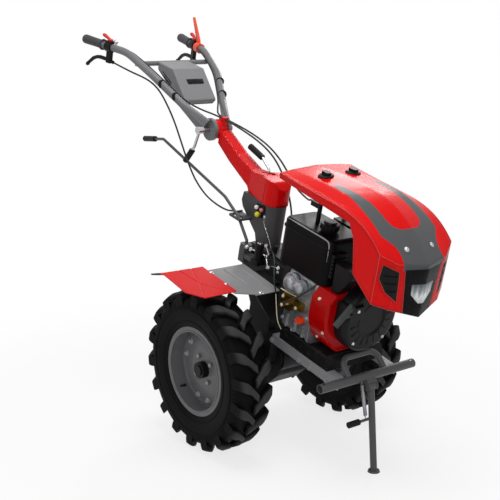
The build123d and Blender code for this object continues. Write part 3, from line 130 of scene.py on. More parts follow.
class Finish:
    def __init__(self, name):
        self.material = bpy.data.materials.new(name)
        self.material.use_nodes = True
        self.tree = self.material.node_tree
        self.shader = self.tree.nodes["Principled BSDF"]
        self.place = self.add("ShaderNodeTexCoord", out="Object")

    def add(self, kind, settings=None, sockets=None, out=0):
        made = self.tree.nodes.new(kind)
        for name, value in (settings or {}).items():
            if name == "stops":
                ramp = made.color_ramp
                while len(ramp.elements) < len(value):
                    ramp.elements.new(1)
                for element, (place, shade) in zip(ramp.elements, value):
                    element.position = place
                    element.color = shade if hasattr(shade, "__len__") else (shade, shade, shade, 1)
            else:
                setattr(made, name, value)
        self.join(made, sockets or {})
        return Wire(self, made.outputs[out])

    def join(self, node, sockets):
        for name, value in sockets.items():
            if isinstance(value, Wire):
                self.tree.links.new(value.socket, node.inputs[name])
            else:
                node.inputs[name].default_value = value

    def noise(self, scale, detail=3, rough=0.5):
        return self.add("ShaderNodeTexNoise", None,
                        {"Vector": self.place, "Scale": scale, "Detail": detail, "Roughness": rough})

    def cells(self, scale):
        return self.add("ShaderNodeTexVoronoi", None, {"Vector": self.place, "Scale": scale}, "Distance")

    def ramp(self, value, stops):
        return self.add("ShaderNodeValToRGB", {"stops": stops}, {"Fac": value})

    def mix(self, mask, first, second):
        return self.add("ShaderNodeMix", {"data_type": "RGBA"}, {0: mask, 6: first, 7: second}, 2)

    def vectors(self, operation, first, second, out="Vector"):
        return self.add("ShaderNodeVectorMath", {"operation": operation}, {0: first, 1: second}, out)

    def axes(self):  # x, y and z in the level frame, in mm
        level = self.add("ShaderNodeMapping", {"vector_type": "TEXTURE"}, {
            "Vector": self.place, "Location": axlePoint, "Rotation": (0, pitch, 0), "Scale": (millimetre,) * 3})
        return [self.add("ShaderNodeSeparateXYZ", None, {0: level}, name) for name in "XYZ"]

    def step(self, value, edge, soft):
        return self.add("ShaderNodeMapRange", {"interpolation_type": "SMOOTHSTEP"},
                        {"Value": value, "From Min": edge - soft, "From Max": edge + soft})

    def rounded(self, radius):
        return self.add("ShaderNodeBevel", {"samples": 4}, {"Radius": radius})

    def edges(self, rounded, gain):  # where the rounded normal leaves the face's own
        plain = self.add("ShaderNodeNewGeometry", out="Normal")
        return ((1 - self.vectors("DOT_PRODUCT", rounded, plain, "Value")) * gain).held()

    def bump(self, height, strength, distance, normal=None):
        links = {"Strength": strength, "Distance": distance, "Height": height}
        if normal:
            links["Normal"] = normal
        return self.add("ShaderNodeBump", None, links)

    def put(self, sockets):
        self.join(self.shader, sockets)
        return self.material


# finishes, each noise given as scale, detail and roughness
edgeRound = 0.0012
paintGrains = {"cloud": (7, 2), "dust": (38, 5, 0.62), "smear": (16, 3, 0.6), "chips": (55, 4), "peel": 420}
dustColour = "8d8478"
# round and gain of the painted highlight along crisp edges
paintedGlintEdge = {"round": 0.004, "gain": 6}


def paintFinish(name, look):
    made = Finish(name)
    soft = made.rounded(look.get("round", edgeRound))
    base = made.mix(made.noise(*paintGrains["cloud"]), tint(look["colour"]), tint(look["deep"]))
    # a paler colour along crisp edges: painted highlight
    if look.get("glint"):
        crisp = made.edges(made.rounded(paintedGlintEdge["round"]), paintedGlintEdge["gain"])
        base = made.mix(crisp * look["glint"], base, tint(look["bare"]))
    if look.get("stripes"):
        base = made.mix(look["stripes"](made), base, tint(look["stripe"]))
    dust = made.ramp(made.noise(*paintGrains["dust"]), [(0.52, 0), (0.85, look["dust"])])
    base = made.mix(dust, base, tint(dustColour))
    smear = made.noise(*paintGrains["smear"])
    rough = look["rough"] + (smear - 0.5) * 0.16 + dust * 0.5
    if look.get("wear"):
        worn = made.edges(soft, 5) * made.ramp(made.noise(*paintGrains["chips"]), [(0.5, 0), (0.72, 1)])
        base = made.mix(worn * look["wear"], base, tint(look["bare"]))
        rough = rough + worn * 0.12
    peel = made.noise(look.get("grain", paintGrains["peel"]), 2)
    return made.put({
        "Base Color": base,
        "Roughness": rough,
        "Specular IOR Level": look["spec"],
        "Coat Weight": (look["coat"] - dust * 1.5).held() if look.get("coat") else 0,
        "Coat Roughness": look.get("coatRough", 0.06),
        "Normal": made.bump(peel, look.get("peel", 0.04), 0.0006, soft),
    })


# stripe edges as shares of the hood's half width, along its length
stripeSizes = {
    "start": 240, "long": 400, "halfWidth": 160, "rear": 244, "low": 626, "soft": 0.012, "overlap": 0.013,
    "inner": [(0, 0.50), (0.2, 0.47), (0.4, 0.46), (0.6, 0.455), (0.66, 0.40), (0.70, 0.27), (0.72, 0), (1, 0)],
    "outer": [(0, 0.64), (0.2, 0.68), (0.4, 0.75), (0.6, 0.78), (0.70, 0.785), (0.74, 0.70), (0.80, 0.585),
              (0.86, 0.55), (0.95, 0.575), (1, 0.58)],
}


def hoodStripes(made):
    sizes = stripeSizes
    x, y, z = made.axes()
    span = ((x - sizes["start"]) / sizes["long"]).held()
    inner, outer = made.ramp(span, sizes["inner"]), made.ramp(span, sizes["outer"])
    spread = abs(y) / sizes["halfWidth"]
    front = made.step(x, sizes["rear"], 3) * made.step(z, sizes["low"], 2)
    inside = made.step(spread - inner, -sizes["overlap"], sizes["soft"])
    return inside * made.step(outer - spread, 0, sizes["soft"]) * front


plasticGrains = {"cloud": (12, 3), "scuff": (90, 6, 0.7), "grain": 900}


def plasticFinish(name, look):
    made = Finish(name)
    soft = made.rounded(look.get("round", edgeRound))
    cloud = made.noise(*plasticGrains["cloud"])
    scuff = made.ramp(made.noise(*plasticGrains["scuff"]), [(0.6, 0), (0.9, look.get("scuff", 0.25))])
    base = made.mix(cloud, tint(look["colour"]), tint(look["deep"]))
    base = made.mix(scuff, base, tint(look["bare"]))
    base = made.mix(made.edges(soft, 4) * 0.4, base, tint(look["bare"]))
    return made.put({
        "Base Color": base,
        "Roughness": look["rough"] + (cloud - 0.5) * 0.18 + scuff * 0.3,
        "Specular IOR Level": look.get("spec", 0.3),
        "Normal": made.bump(made.cells(plasticGrains["grain"]) + cloud, look.get("peel", 0.12), 0.0005, soft),
    })


castGrains = {"round": 0.002, "sand": (520, 6, 0.7), "blotch": (22, 5, 0.6), "pits": 210}


def castFinish(name, look):
    made = Finish(name)
    soft = made.rounded(castGrains["round"])
    sand = made.noise(*castGrains["sand"])
    blotch = made.noise(*castGrains["blotch"])
    pits = made.ramp(made.cells(castGrains["pits"]), [(0, 0), (0.18, 1)])
    base = made.mix(made.ramp(blotch, [(0.35, 0), (0.65, 1)]), tint(look["colour"]), tint(look["deep"]))
    base = made.mix((1 - pits) * 0.5, base, tint(look["pit"]))
    base = made.mix(made.edges(soft, 4) * 0.55, base, tint(look["bare"]))
    return made.put({
        "Base Color": base,
        "Metallic": look["metal"],
        "Roughness": look["rough"] + (blotch - 0.5) * 0.25 + (1 - pits) * 0.15,
        "Specular IOR Level": look["spec"],
        "Normal": made.bump(sand + pits * 0.6, look["peel"], 0.0008, soft),
    })


steelGrains = {"stain": (26, 5, 0.65), "fine": (300, 4, 0.6)}


def steelFinish(name, look):
    made = Finish(name)
    stain = made.noise(*steelGrains["stain"])
    base = made.mix(made.ramp(stain, [(0.4, 0), (0.7, 1)]), tint(look["colour"]), tint(look["deep"]))
    return made.put({
        "Base Color": base,
        "Metallic": look["metal"],
        "Roughness": look["rough"] + (stain - 0.5) * 0.3,
        "Normal": made.bump(made.noise(*steelGrains["fine"]), 0.05, 0.0004),
    })


rubberGrains = {"cloud": (9, 4, 0.6), "grain": (640, 5, 0.65)}


def rubberFinish(name, look):
    made = Finish(name)
    cloud = made.noise(*rubberGrains["cloud"])
    base = made.mix(cloud, tint(look["colour"]), tint(look["deep"]))
    if look.get("tread"):
        base = made.mix(look["tread"](made, cloud), base, tint(look["bare"]))
    return made.put({
        "Base Color": base,
        "Roughness": look["rough"] + (cloud - 0.5) * 0.14,
        "Specular IOR Level": look.get("spec", 0.25),
        "Normal": made.bump(made.noise(*rubberGrains["grain"]), look.get("peel", 0.2), 0.0006),
    })


paleLugTops = {"reach": 0.290, "soft": 0.008}  # the lugs' tops are paler than the carcass


def lugTops(made, cloud):
    flat = made.vectors("MULTIPLY", made.vectors("SUBTRACT", made.place, axlePoint), (1, 0, 1))
    reach = made.add("ShaderNodeVectorMath", {"operation": "LENGTH"}, {0: flat}, "Value")
    return made.step(reach, paleLugTops["reach"], paleLugTops["soft"]) * (0.3 + 0.5 * cloud)


# one solid in two or three materials, parted where a measure in the level frame passes an edge
partedGrains = {"cloud": (14, 4, 0.6), "fine": (500, 4, 0.6), "sway": 0.16, "spec": 0.14}


def partedFinish(name, look):
    looks, partings = look
    made = Finish(name)
    soft = made.rounded(edgeRound)
    cloud = made.noise(*partedGrains["cloud"])
    fine = made.noise(*partedGrains["fine"])
    sway = (cloud - 0.5) * partedGrains["sway"]
    axes = made.axes()
    metals = [look.get("metal", 0) for look in looks]
    base = made.mix(cloud, tint(looks[0]["colour"]), tint(looks[0]["deep"]))
    rough = looks[0]["rough"] + sway
    metal, mask = metals[0], None
    for (measure, edge, width), look in zip(partings, looks[1:]):
        passed = made.step(measure(*axes), edge, width)
        mask = mask * passed if mask else passed  # a third material lies within the second
        base = made.mix(mask, base, made.mix(cloud, tint(look["colour"]), tint(look["deep"])))
        rough = rough * (1 - mask) + mask * (look["rough"] + sway)
        if any(metals):
            metal = metal * (1 - mask) + mask * look.get("metal", 0)
    return made.put({
        "Base Color": base,
        "Roughness": rough,
        "Metallic": metal,
        "Specular IOR Level": partedGrains["spec"],
        "Normal": made.bump(fine, 0.12, 0.0005, soft),
    })


# looks that several finishes share
# redLook's pale pink is bare chipped paint on the shroud and a painted highlight on the hood's edges
redLook = {"colour": "dc0507", "deep": "ca0305", "bare": "e8a59d", "stripe": "525355", "rough": 0.25, "coat": 0.08,
           "dust": 0.03, "spec": 0.06}
greyLook = {"colour": "505052", "deep": "474749", "bare": "9a9a9a", "rough": 0.42, "coat": 0.05, "coatRough": 0.2,
            "dust": 0.10, "peel": 0.10, "wear": 0.4, "spec": 0.2}
rimLook = dict(greyLook, colour="68686a", deep="5c5c5e", rough=0.34, round=0.003)
blackLook = {"colour": "141415", "deep": "101011", "bare": "55534f", "rough": 0.45, "dust": 0.10, "peel": 0.10,
             "wear": 0.4, "spec": 0.12}
plasticLook = {"colour": "121213", "deep": "0d0d0e", "bare": "38383a", "rough": 0.44, "spec": 0.12}
glossLook = {"colour": "0a0a0b", "deep": "070708", "bare": "35353a", "rough": 0.22, "peel": 0.04, "scuff": 0.08,
             "round": 0.006, "spec": 0.07}
knobLook = {"bare": "ffffff", "rough": 0.35}
steelLook = {"colour": "c8c8cb", "deep": "a5a5a9", "rough": 0.26, "metal": 1}
darkGripLook = {"colour": "161617", "deep": "101011", "rough": 0.55}
# fenderRed is a pinker copy of the hood's red: painted reflection of the overhead light
fenderRed = {"colour": "d61c1e", "deep": "c61416", "rough": 0.30}
fenderGrey = {"colour": "8a8a8b", "deep": "7e7e80", "rough": 0.40}
consoleLook = {"colour": "818183", "deep": "777779", "rough": 0.44}
handleLook = {"colour": "3f4544", "deep": "343938", "rough": 0.5}

# every finish under its maker; a parting is a measure in mm, its edge and its softness
looksByMaker = {
    paintFinish: {
        # the hood's crisp edges carry a painted highlight in pale pink
        "hood": dict(redLook, round=0.020, glint=0.45, stripes=hoodStripes),
        "cover": dict(redLook, colour="d40507", round=0.012),
        "shroud": dict(redLook, colour="ab0304", deep="980203", wear=0.3),
        "bar": dict(greyLook, colour="717174", deep="666669", rough=0.34, coat=0.12),
        "grey": greyLook,
        "column": dict(greyLook, colour="434345", deep="3b3b3d", rough=0.48, peel=0.3, grain=700),
        # the rails wear a lighter copy of greyLook: painted light of the sky on their tops
        "rail": dict(greyLook, colour="88888b", deep="7c7c7f", rough=0.40),
        # a pale grey for raised ribs, bolt heads and the tank's bead: painted highlight
        "rib": dict(greyLook, colour="9c9c9e", deep="8e8e90", rough=0.34),
        "black": blackLook,
        "rim": rimLook,
    },
    plasticFinish: {
        "plastic": plasticLook,
        "nose": dict(glossLook, round=0.045),
        "tank": dict(glossLook, rough=0.40, spec=0.06),
        "orange": {"colour": "f03f08", "deep": "dd3606", "bare": "ff9a70", "rough": 0.40},
        "lever": {"colour": "d11212", "deep": "bd0d0d", "bare": "ff9d86", "rough": 0.35},
        "reverse": {"colour": "ea4a24", "deep": "dc3f1b", "bare": "ffb197", "rough": 0.32},
        "white": dict(knobLook, colour="e9e4df", deep="d8d2cc"),
        "yellow": dict(knobLook, colour="d3cf2a", deep="b9b41c"),
        "pink": dict(knobLook, colour="d88a90", deep="b94f5a"),
    },
    castFinish: {
        "alloy": {"colour": "a9abae", "deep": "6c6e72", "pit": "3c3d40", "bare": "d8d8d8", "metal": 0.8, "rough": 0.40,
                  "peel": 0.3, "spec": 0.3},
        "cast": {"colour": "1f1f21", "deep": "181819", "pit": "0e0e0e", "bare": "505054", "metal": 0.2, "rough": 0.5,
                 "peel": 0.35, "spec": 0.12},
    },
    steelFinish: {
        "steel": steelLook,
        "spring": dict(steelLook, colour="8f8f93", deep="707074", rough=0.34),
        "cream": {"colour": "d8cfb4", "deep": "c5ba9b", "rough": 0.35, "metal": 0.3},
        "zinc": {"colour": "8d7230", "deep": "6d5620", "rough": 0.34, "metal": 1},
    },
    rubberFinish: {
        "grip": {"colour": "464648", "deep": "3c3c3e", "rough": 0.60},
        "jacket": {"colour": "222224", "deep": "1a1a1b", "rough": 0.40},
        "tyre": {"colour": "0b0b0c", "deep": "070708", "bare": "4a4a4c", "rough": 0.58, "peel": 0.25, "spec": 0.06,
                 "tread": lugTops},
    },
    partedFinish: {
        "clamp": ([darkGripLook, steelLook], [(lambda x, y, z: z, 626, 1.5)]),
        "swivel": ([darkGripLook, steelLook], [(lambda x, y, z: x, -264, 1.5)]),
        "hub": ([blackLook, rimLook], [(lambda x, y, z: (x * x + z * z) ** 0.5, 44, 1)]),
        "innerFender": ([fenderGrey, blackLook], [(lambda x, y, z: 320.8 - z, 0, 0.5)]),
        # the outer fenders' pinker red is a painted reflection
        "outerFender": ([fenderRed, blackLook], [(lambda x, y, z: abs(y), 459, 1)]),
        "tower": ([greyLook, plasticLook, steelLook],
                  [(lambda x, y, z: x, -108, 1.5), (lambda x, y, z: z, 428, 0.6)]),
        # the arm core wears the same pinker red, a painted reflection
        "core": ([fenderRed, steelLook], [(lambda x, y, z: abs(y), 40, 1)]),
        # the console's underside is black plastic: partly a real black lip, partly painted shade under the rounded
        # edge
        "console": ([consoleLook, plasticLook], [(lambda x, y, z: 472.6 - z - 0.4455 * x, 0, 2)]),
        "recoil": ([plasticLook, handleLook], [(lambda x, y, z: 0 - y, 128, 1.5)]),
    },
}
finishes = {}
for maker, looks in looksByMaker.items():
    for name, look in looks.items():
        finishes[name] = maker(name + "Finish", look)

lampLook = {"flutes": 0.33, "low": 508, "deep": 70, "cloud": (45, 3), "smear": (30, 2), "round": 0.03,
            "shades": [(0.22, "b9bcbe"), (0.48, "d2d4d5"), (0.70, "84888c"), (0.95, "4a4e52")]}


# the lens's colour is a painted reflection of its reflector: greys that change with height up the bowl and along the
# flutes
def lampFinish(name):
    made = Finish(name)
    x, y, z = made.axes()
    flutes = (y * lampLook["flutes"]).wave() * 0.5 + 0.5
    bowl = ((z - lampLook["low"]) / lampLook["deep"]).held()
    glint = bowl * 0.75 + flutes * 0.16 + made.noise(*lampLook["cloud"]) * 0.30
    return made.put({
        "Base Color": made.ramp(glint, [(place, tint(code)) for place, code in lampLook["shades"]]),
        "Metallic": 0.4,
        "Roughness": 0.14 + made.noise(*lampLook["smear"]) * 0.15,
        "Coat Weight": 0.5,
        "Coat Roughness": 0.03,
        "Normal": made.bump(flutes, 0.25, 0.0015, made.rounded(lampLook["round"])),
    })


finishes["lamp"] = lampFinish("lampLens")
print("finishes made:", len(finishes))

# which finish each solid wears
wears = {
    "hood": "hood", "shroud": "fan_shroud", "outerFender": "outer_fenders", "innerFender": "inner_fenders",
    "cover": "arm_cover", "core": "arm_core", "bar": "handlebar", "rail": "frame_rails", "column": "column",
    "tower": "gear_tower", "recoil": "recoil_starter", "tank": "fuel_tank", "nose": "nose_panel", "lamp": "headlamp",
    "console": "console", "alloy": "engine_block", "zinc": "injection_pump", "orange": "oil_cap",
    "lever": "throttle_levers", "reverse": "reverse_lever", "grip": "hand_grips", "clamp": "clamp_lever",
    "swivel": "swivel_lever", "spring": "stand_spring", "tyre": "left_tyre right_tyre", "rim": "left_rim right_rim",
    "hub": "left_hub right_hub", "grey": "front_bumper stand_leg shift_rod",
    "black": "hood_stays hood_posts engine_base rear_hitch", "cast": "gearbox clutch_bell cylinder_head muffler",
    "jacket": "bar_cables engine_cables drop_cable_upper drop_cable_lower",
    "plastic": "air_cleaner regulator side_vents clutch_levers hood_pads tank_cap shift_grip pedal_grip",
}
dressed = set()
for finish, names in wears.items():
    for name in names.split():
        nodes[name].data.materials.clear()
        nodes[name].data.materials.append(finishes[finish])
        dressed.add(name)
print("solids without a finish:", sorted(set(nodes) - dressed))


# mesh helpers
def frameAt(point, axis, spin=0):
    axis = Vector(axis).normalized()
    side = Vector((0, 1, 0)) if abs(axis.y) < 0.9 else Vector((1, 0, 0))
    first = side.cross(axis).normalized()
    basis = Matrix((first, axis.cross(first), axis)).transposed().to_4x4()
    return Matrix.Translation(point) @ basis @ Matrix.Rotation(spin, 4, "Z")


def flatPlace(point, across, up):
    return Matrix.Translation(point) @ Matrix((across, up, across.cross(up))).transposed().to_4x4()


def circle(steps):
    angles = [2 * math.pi * i / steps for i in range(steps)]
    return [(math.cos(a), math.sin(a)) for a in angles]


def inMetres(profile):
    return [(radius * millimetre, height * millimetre) for radius, height in profile]


def skin(mesh, rings, loop=True, caps=True, closed=False):
    made = [[mesh.verts.new(point) for point in ring] for ring in rings]
    pairs = list(zip(made, made[1:])) + ([(made[-1], made[0])] if closed else [])
    for low, high in pairs:
        count = len(low)
        for i in range(count if loop else count - 1):
            j = (i + 1) % count
            mesh.faces.new((low[i], low[j], high[j], high[i]))
    if caps and not closed:
        mesh.faces.new(list(reversed(made[0])))
        mesh.faces.new(made[-1])


def lathe(mesh, profile, place, steps=24):
    rings = []
    for radius, height in profile:
        rings.append([place @ Vector((radius * c, radius * s, height)) for c, s in circle(steps)])
    skin(mesh, rings)


# outlines of bolts and screws as shares of their size, their feet sunk into what they sit on
sunk = 0.0002
washerShape = [(1.55, 0), (1.55, 0.22), (1.4, 0.3)]
headShape = [(1, 0), (1, 0.7), (0.86, 0.85)]
domeShape = [(1.25, 0), (1.25, 0.15), (1, 0.2)]
domeShape += [(math.cos(a), 0.2 + 0.55 * math.sin(a)) for a in (0.3, 0.6, 0.9, 1.15, 1.35)]
domeShape += [(0.17, 0.74), (0.15, 0.5)]


def scaled(shape, size):
    return [(size * radius, size * height or -sunk) for radius, height in shape]


def hexBolt(mesh, point, axis, size, washer=True, spin=0.3):
    place = frameAt(point, axis, spin)
    base = -sunk
    if washer:
        lathe(mesh, scaled(washerShape, size), place, 20)
        base = size * washerShape[-1][1]
    lathe(mesh, [(size * radius, base + size * height) for radius, height in headShape], place, 6)


def domeScrew(mesh, point, axis, size):
    lathe(mesh, scaled(domeShape, size), frameAt(point, axis), 18)


def block(mesh, place, size, bevel):
    made = bmesh.ops.create_cube(mesh, size=1, matrix=place @ Matrix.Diagonal((*size, 1)))
    edges = list({edge for vert in made["verts"] for edge in vert.link_edges})
    bmesh.ops.bevel(mesh, geom=edges, offset=bevel, segments=3, affect="EDGES", profile=0.5)


def hoop(mesh, place, radius, wire, steps=40):
    outline = [(radius + wire * c, wire * s) for c, s in circle(8)]
    rings = [[place @ Vector((reach * c, reach * s, height)) for reach, height in outline] for c, s in circle(steps)]
    skin(mesh, rings, caps=False, closed=True)


def routeLine(points):  # a smooth line led by points of the level frame
    curve = bpy.data.curves.new("route", "CURVE")
    curve.dimensions = "3D"
    line = curve.splines.new("NURBS")
    line.points.add(len(points) - 1)
    for point, place in zip(line.points, points):
        point.co = (*at(*place), 1)
    line.order_u = 3
    line.use_endpoint_u = True
    line.resolution_u = 10
    holder = bpy.data.objects.new("route", curve)
    scene.collection.objects.link(holder)
    shape = bpy.data.meshes.new_from_object(holder)
    found = [vert.co.copy() for vert in shape.vertices]
    bpy.data.objects.remove(holder)
    bpy.data.meshes.remove(shape)
    return [found[0]] + [b for a, b in zip(found, found[1:]) if (b - a).length > 1e-6]


def tube(mesh, line, radius, sides=12):
    normal = None
    rings = []
    for i, point in enumerate(line):
        ahead = (line[min(i + 1, len(line) - 1)] - line[max(i - 1, 0)]).normalized()
        if normal is None:
            normal = ahead.orthogonal().normalized()
        normal = (normal - ahead * normal.dot(ahead)).normalized()
        across = ahead.cross(normal)
        thick = radius(i / (len(line) - 1)) if callable(radius) else radius
        rings.append([point + (normal * c + across * s) * thick for c, s in circle(sides)])
    skin(mesh, rings)


def piece(name, mesh, finish, body=None, sharp=35):
    bmesh.ops.recalc_face_normals(mesh, faces=mesh.faces)
    data = bpy.data.meshes.new(name)
    mesh.to_mesh(data)
    mesh.free()
    for face in data.polygons:
        face.use_smooth = True
    data.set_sharp_from_angle(angle=math.radians(sharp))
    data.materials.append(finishes[finish])
    made = bpy.data.objects.new(name, data)
    scene.collection.objects.link(made)
    if body:
        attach(made, body)
    return made


trees = {}


def landOn(node, start, direction):  # where a ray meets a solid, and the outward normal there
    if node not in trees:
        data = nodes[node].data
        trees[node] = BVHTree.FromPolygons([v.co for v in data.vertices], [p.vertices for p in data.polygons])
    point, normal = trees[node].ray_cast(start, direction)[:2]
    if point is None:
        return None, None
    return point, normal if normal.dot(direction) < 0 else -normal


# tyres: a smooth carcass with raised rings, swept lugs that roll over the shoulder, and fine ribs
tyreSizes = {
    "halfTrack": 0.320, "top": 0.2995, "crown": 0.2775, "half": 0.0728, "steps": 144, "swell": 0.0002,
    "profile": [(0.056, 0.160), (0.063, 0.168), (0.066, 0.176), (0.0685, 0.190), (0.0715, 0.208), (0.0728, 0.225),
                (0.0722, 0.242), (0.0695, 0.256), (0.064, 0.266), (0.054, 0.272), (0.036, 0.276), (0.018, 0.2774),
                (0.0, 0.2778)],
    "rings": (0.187, 0.2315), "ringSteps": 96, "ringBase": (0.0655, 0.17), "ringLean": 0.115,
    "ringShape": [(-0.0022, 0), (-0.001, 0.0022), (0.001, 0.0022), (0.0022, 0), (0, -0.002)],
    "ribs": 108, "ribLine": [(0.0722, 0.236), (0.0716, 0.244), (0.0702, 0.252), (0.0672, 0.260)],
    "ribShape": [(-0.0014, -0.0012), (0, 0.0016), (0.0014, -0.0012)],
}
lugSizes = {
    "count": 18, "sections": 12, "folds": 2, "width": 0.031, "start": 0.030, "sweep": 0.060, "bend": (0.45, 0.62),
    "past": 0.004, "fall": 0.014, "fallFrom": 0.62, "fallPower": 1.4, "narrow": 0.84, "widen": 0.34,
    "widenFrom": 0.38, "widenOver": 0.2, "foldDrop": 0.020, "foldIn": 0.0006, "sink": 0.268, "foldSink": 0.238,
    "edges": (0.004, 0.001, -0.0005, -0.003), "rimDown": 0.0035, "footDown": 0.004, "roundDown": 0.001,
}


def lugSection(k):  # one cut across a lug: its place over the tread, its shift round it, its outline
    sizes = lugSizes
    reach = min(k / sizes["sections"], 1)
    fold = max(0, k - sizes["sections"])  # the last cuts fold down over the shoulder
    y = -sizes["past"] + reach * (tyreSizes["half"] + sizes["past"]) - sizes["foldIn"] * fold
    knee, kneeSweep = sizes["bend"]
    if reach < knee:
        swept = kneeSweep * reach / knee
    else:
        swept = kneeSweep + (1 - kneeSweep) * (reach - knee) / (1 - knee)
    fallen = max(0, (reach - sizes["fallFrom"]) / (1 - sizes["fallFrom"])) ** sizes["fallPower"]
    top = tyreSizes["top"] - sizes["fall"] * fallen - sizes["foldDrop"] * fold
    widened = min(1, max(0, (reach - sizes["widenFrom"]) / sizes["widenOver"]))
    wide = sizes["width"] / 2 * (sizes["narrow"] + sizes["widen"] * widened)
    rim = top - sizes["rimDown"]
    foot = min(sizes["foldSink"] if fold else sizes["sink"], rim - sizes["footDown"])
    half = [(wide + out, r) for out, r in zip(sizes["edges"], (foot, rim, top - sizes["roundDown"], top))]
    outline = [(-x, r) for x, r in half] + [(0, top)] + half[::-1]
    return y, sizes["start"] - sizes["sweep"] * swept, outline


def tyrePiece(name, side, body, node):
    sizes = tyreSizes
    mesh = bmesh.new()
    centre = Vector((axlePoint.x, side * sizes["halfTrack"], axlePoint.z))

    def spot(y, r, a):
        return centre + Vector((r * math.sin(a), y, r * math.cos(a)))

    def turns(count):
        return [2 * math.pi * i / count for i in range(count)]

    half = []
    for (y0, r0), (y1, r1) in zip(sizes["profile"], sizes["profile"][1:]):
        half += [(y0, r0), ((y0 + y1) / 2, (r0 + r1) / 2 + sizes["swell"])]
    outline = half + [(0, sizes["crown"])] + [(-y, r) for y, r in reversed(half)]
    skin(mesh, [[spot(y, r, a) for y, r in outline] for a in turns(sizes["steps"])], caps=False, closed=True)
    for flank in (-1, 1):
        for radius in sizes["rings"]:
            y = sizes["ringBase"][0] + (radius - sizes["ringBase"][1]) * sizes["ringLean"]
            rings = [[spot(flank * (y + dy), radius + dr, a) for dr, dy in sizes["ringShape"]]
                     for a in turns(sizes["ringSteps"])]
            skin(mesh, rings, caps=False, closed=True)
    cuts = [lugSection(k) for k in range(lugSizes["sections"] + 1 + lugSizes["folds"])]
    for flank in (1, -1):
        for step in range(lugSizes["count"]):
            base = 2 * math.pi * (step + (0 if flank > 0 else 0.5)) / lugSizes["count"]
            skin(mesh, [[spot(flank * y, r, base + (shift + x) / sizes["top"]) for x, r in outline]
                        for y, shift, outline in cuts])
    for flank in (1, -1):
        for a in turns(sizes["ribs"]):
            ridge = [[spot(flank * (y + lift), r, a + width / r) for y, r in sizes["ribLine"]]
                     for width, lift in sizes["ribShape"]]
            skin(mesh, ridge, False, False)
    made = piece(name, mesh, "tyre", body, 40)
    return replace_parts(made, node)


tyrePiece("rightTyre", -1, "right_wheel", "right_tyre")
tyrePiece("leftTyre", 1, "left_wheel", "left_tyre")
print("tyres done")

# control cables, each a tube along its own smooth line
cableRadius = 0.0035
cableRoutes = {
    "rightBarCable": {
        "node": "bar_cables", "bodies": ("handlebar", "arm"), "from": (-690, -90, 812), "to": (-545, 8, 762),
        "points": [(-1012, -181, 920), (-960, -169, 920), (-905, -160, 907), (-848, -148, 888), (-785, -132, 862),
                   (-720, -104, 826), (-660, -76, 793), (-614, -36, 774), (-576, 8, 762), (-530, 8, 762)]},
    "leftBarCable": {
        "node": "bar_cables", "bodies": ("handlebar", "arm"), "from": (-690, 90, 812), "to": (-545, 18, 762),
        "points": [(-983, 175, 922), (-955, 168, 919), (-905, 160, 907), (-848, 148, 888), (-785, 132, 862),
                   (-720, 104, 826), (-660, 76, 793), (-614, 42, 774), (-576, 18, 762), (-530, 18, 762)]},
    "lidCable": {
        "node": "engine_cables", "bodies": ("arm", "chassis"), "from": (-300, 54, 715), "to": (-70, 40, 480),
        "points": [(-512, 8, 762), (-466, 8, 762), (-415, 24, 750), (-362, 40, 736), (-310, 52, 719),
                   (-262, 60, 697), (-217, 64, 666), (-176, 63, 630), (-138, 59, 590), (-105, 53, 548),
                   (-80, 45, 503), (-62, 36, 458), (-54, 31, 420), (-54, 31, 395)]},
    "postCable": {
        "node": "engine_cables", "bodies": ("arm", "chassis"), "from": (-300, 65, 722), "to": (70, -34, 655),
        "points": [(-512, 18, 762), (-466, 18, 762), (-415, 36, 753), (-360, 53, 740), (-304, 65, 724),
                   (-252, 72, 702), (-200, 70, 678), (-150, 60, 656), (-98, 44, 641), (-42, 26, 635), (10, 6, 638),
                   (52, -18, 648), (82, -42, 660), (98, -48, 668), (118, -48, 668)]},
    "upperDropCable": {
        "node": "drop_cable_upper", "bodies": ("handlebar", "arm"), "from": (-820, -160, 826), "to": (-590, -112, 612),
        "points": [(-1026, -204, 857), (-968.4, -191.2, 850.6), (-908, -180, 846), (-850, -166, 843),
                   (-800, -155, 834), (-754, -146, 813), (-704, -136, 768), (-658, -127, 716), (-616, -118, 654),
                   (-576, -109, 594)]},
    "lowerDropCable": {
        "node": "drop_cable_lower", "bodies": ("arm", "chassis"), "from": (-560, -106, 570), "to": (-300, -52, 468),
        "points": [(-576, -109, 594), (-536, -100, 540), (-496, -89, 502), (-452, -78, 474), (-398, -68, 460),
                   (-345, -60, 457), (-316, -54, 464), (-297, -51, 470), (-281, -51, 470)]},
}
for name, route in cableRoutes.items():
    mesh = bmesh.new()
    tube(mesh, routeLine(route["points"]), cableRadius)
    made = piece(name, mesh, "jacket", None, 60)
    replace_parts(made, route["node"])
    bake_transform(made)
print("cables done")

# stand spring: hooked coil between the bumper and the pedal rod
springSizes = {"top": (478, -30, 155), "bottom": (537.2, -30, 18.5), "lead": 16.3, "tail": 5.3, "coil": 0.0050,
               "wire": 0.0019, "turns": 34, "perTurn": 12, "stem": 0.010, "hook": 0.001}


def standSpring():
    sizes = springSizes
    top, bottom = at(*sizes["top"]), at(*sizes["bottom"])
    axis = (bottom - top).normalized()
    start, end = top + axis * sizes["lead"] * millimetre, bottom - axis * sizes["tail"] * millimetre
    place = frameAt(start, axis)
    length = (end - start).length
    stem, hook = sizes["stem"], sizes["hook"]
    spots = [(0, 0, -hook), (hook, 0, stem * 0.5)]
    count = sizes["turns"] * sizes["perTurn"]
    for i in range(count + 1):
        a = 2 * math.pi * i / sizes["perTurn"]
        spots.append((sizes["coil"] * math.cos(a), sizes["coil"] * math.sin(a),
                      stem + (length - 2 * stem) * i / count))
    spots += [(hook, 0, length - stem * 0.5), (0, 0, length + hook)]
    mesh = bmesh.new()
    tube(mesh, [place @ Vector(spot) for spot in spots], sizes["wire"], 6)
    made = piece("standSpring", mesh, "spring", None, 60)
    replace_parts(made, "stand_spring")
    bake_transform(made)


standSpring()
print("spring done")

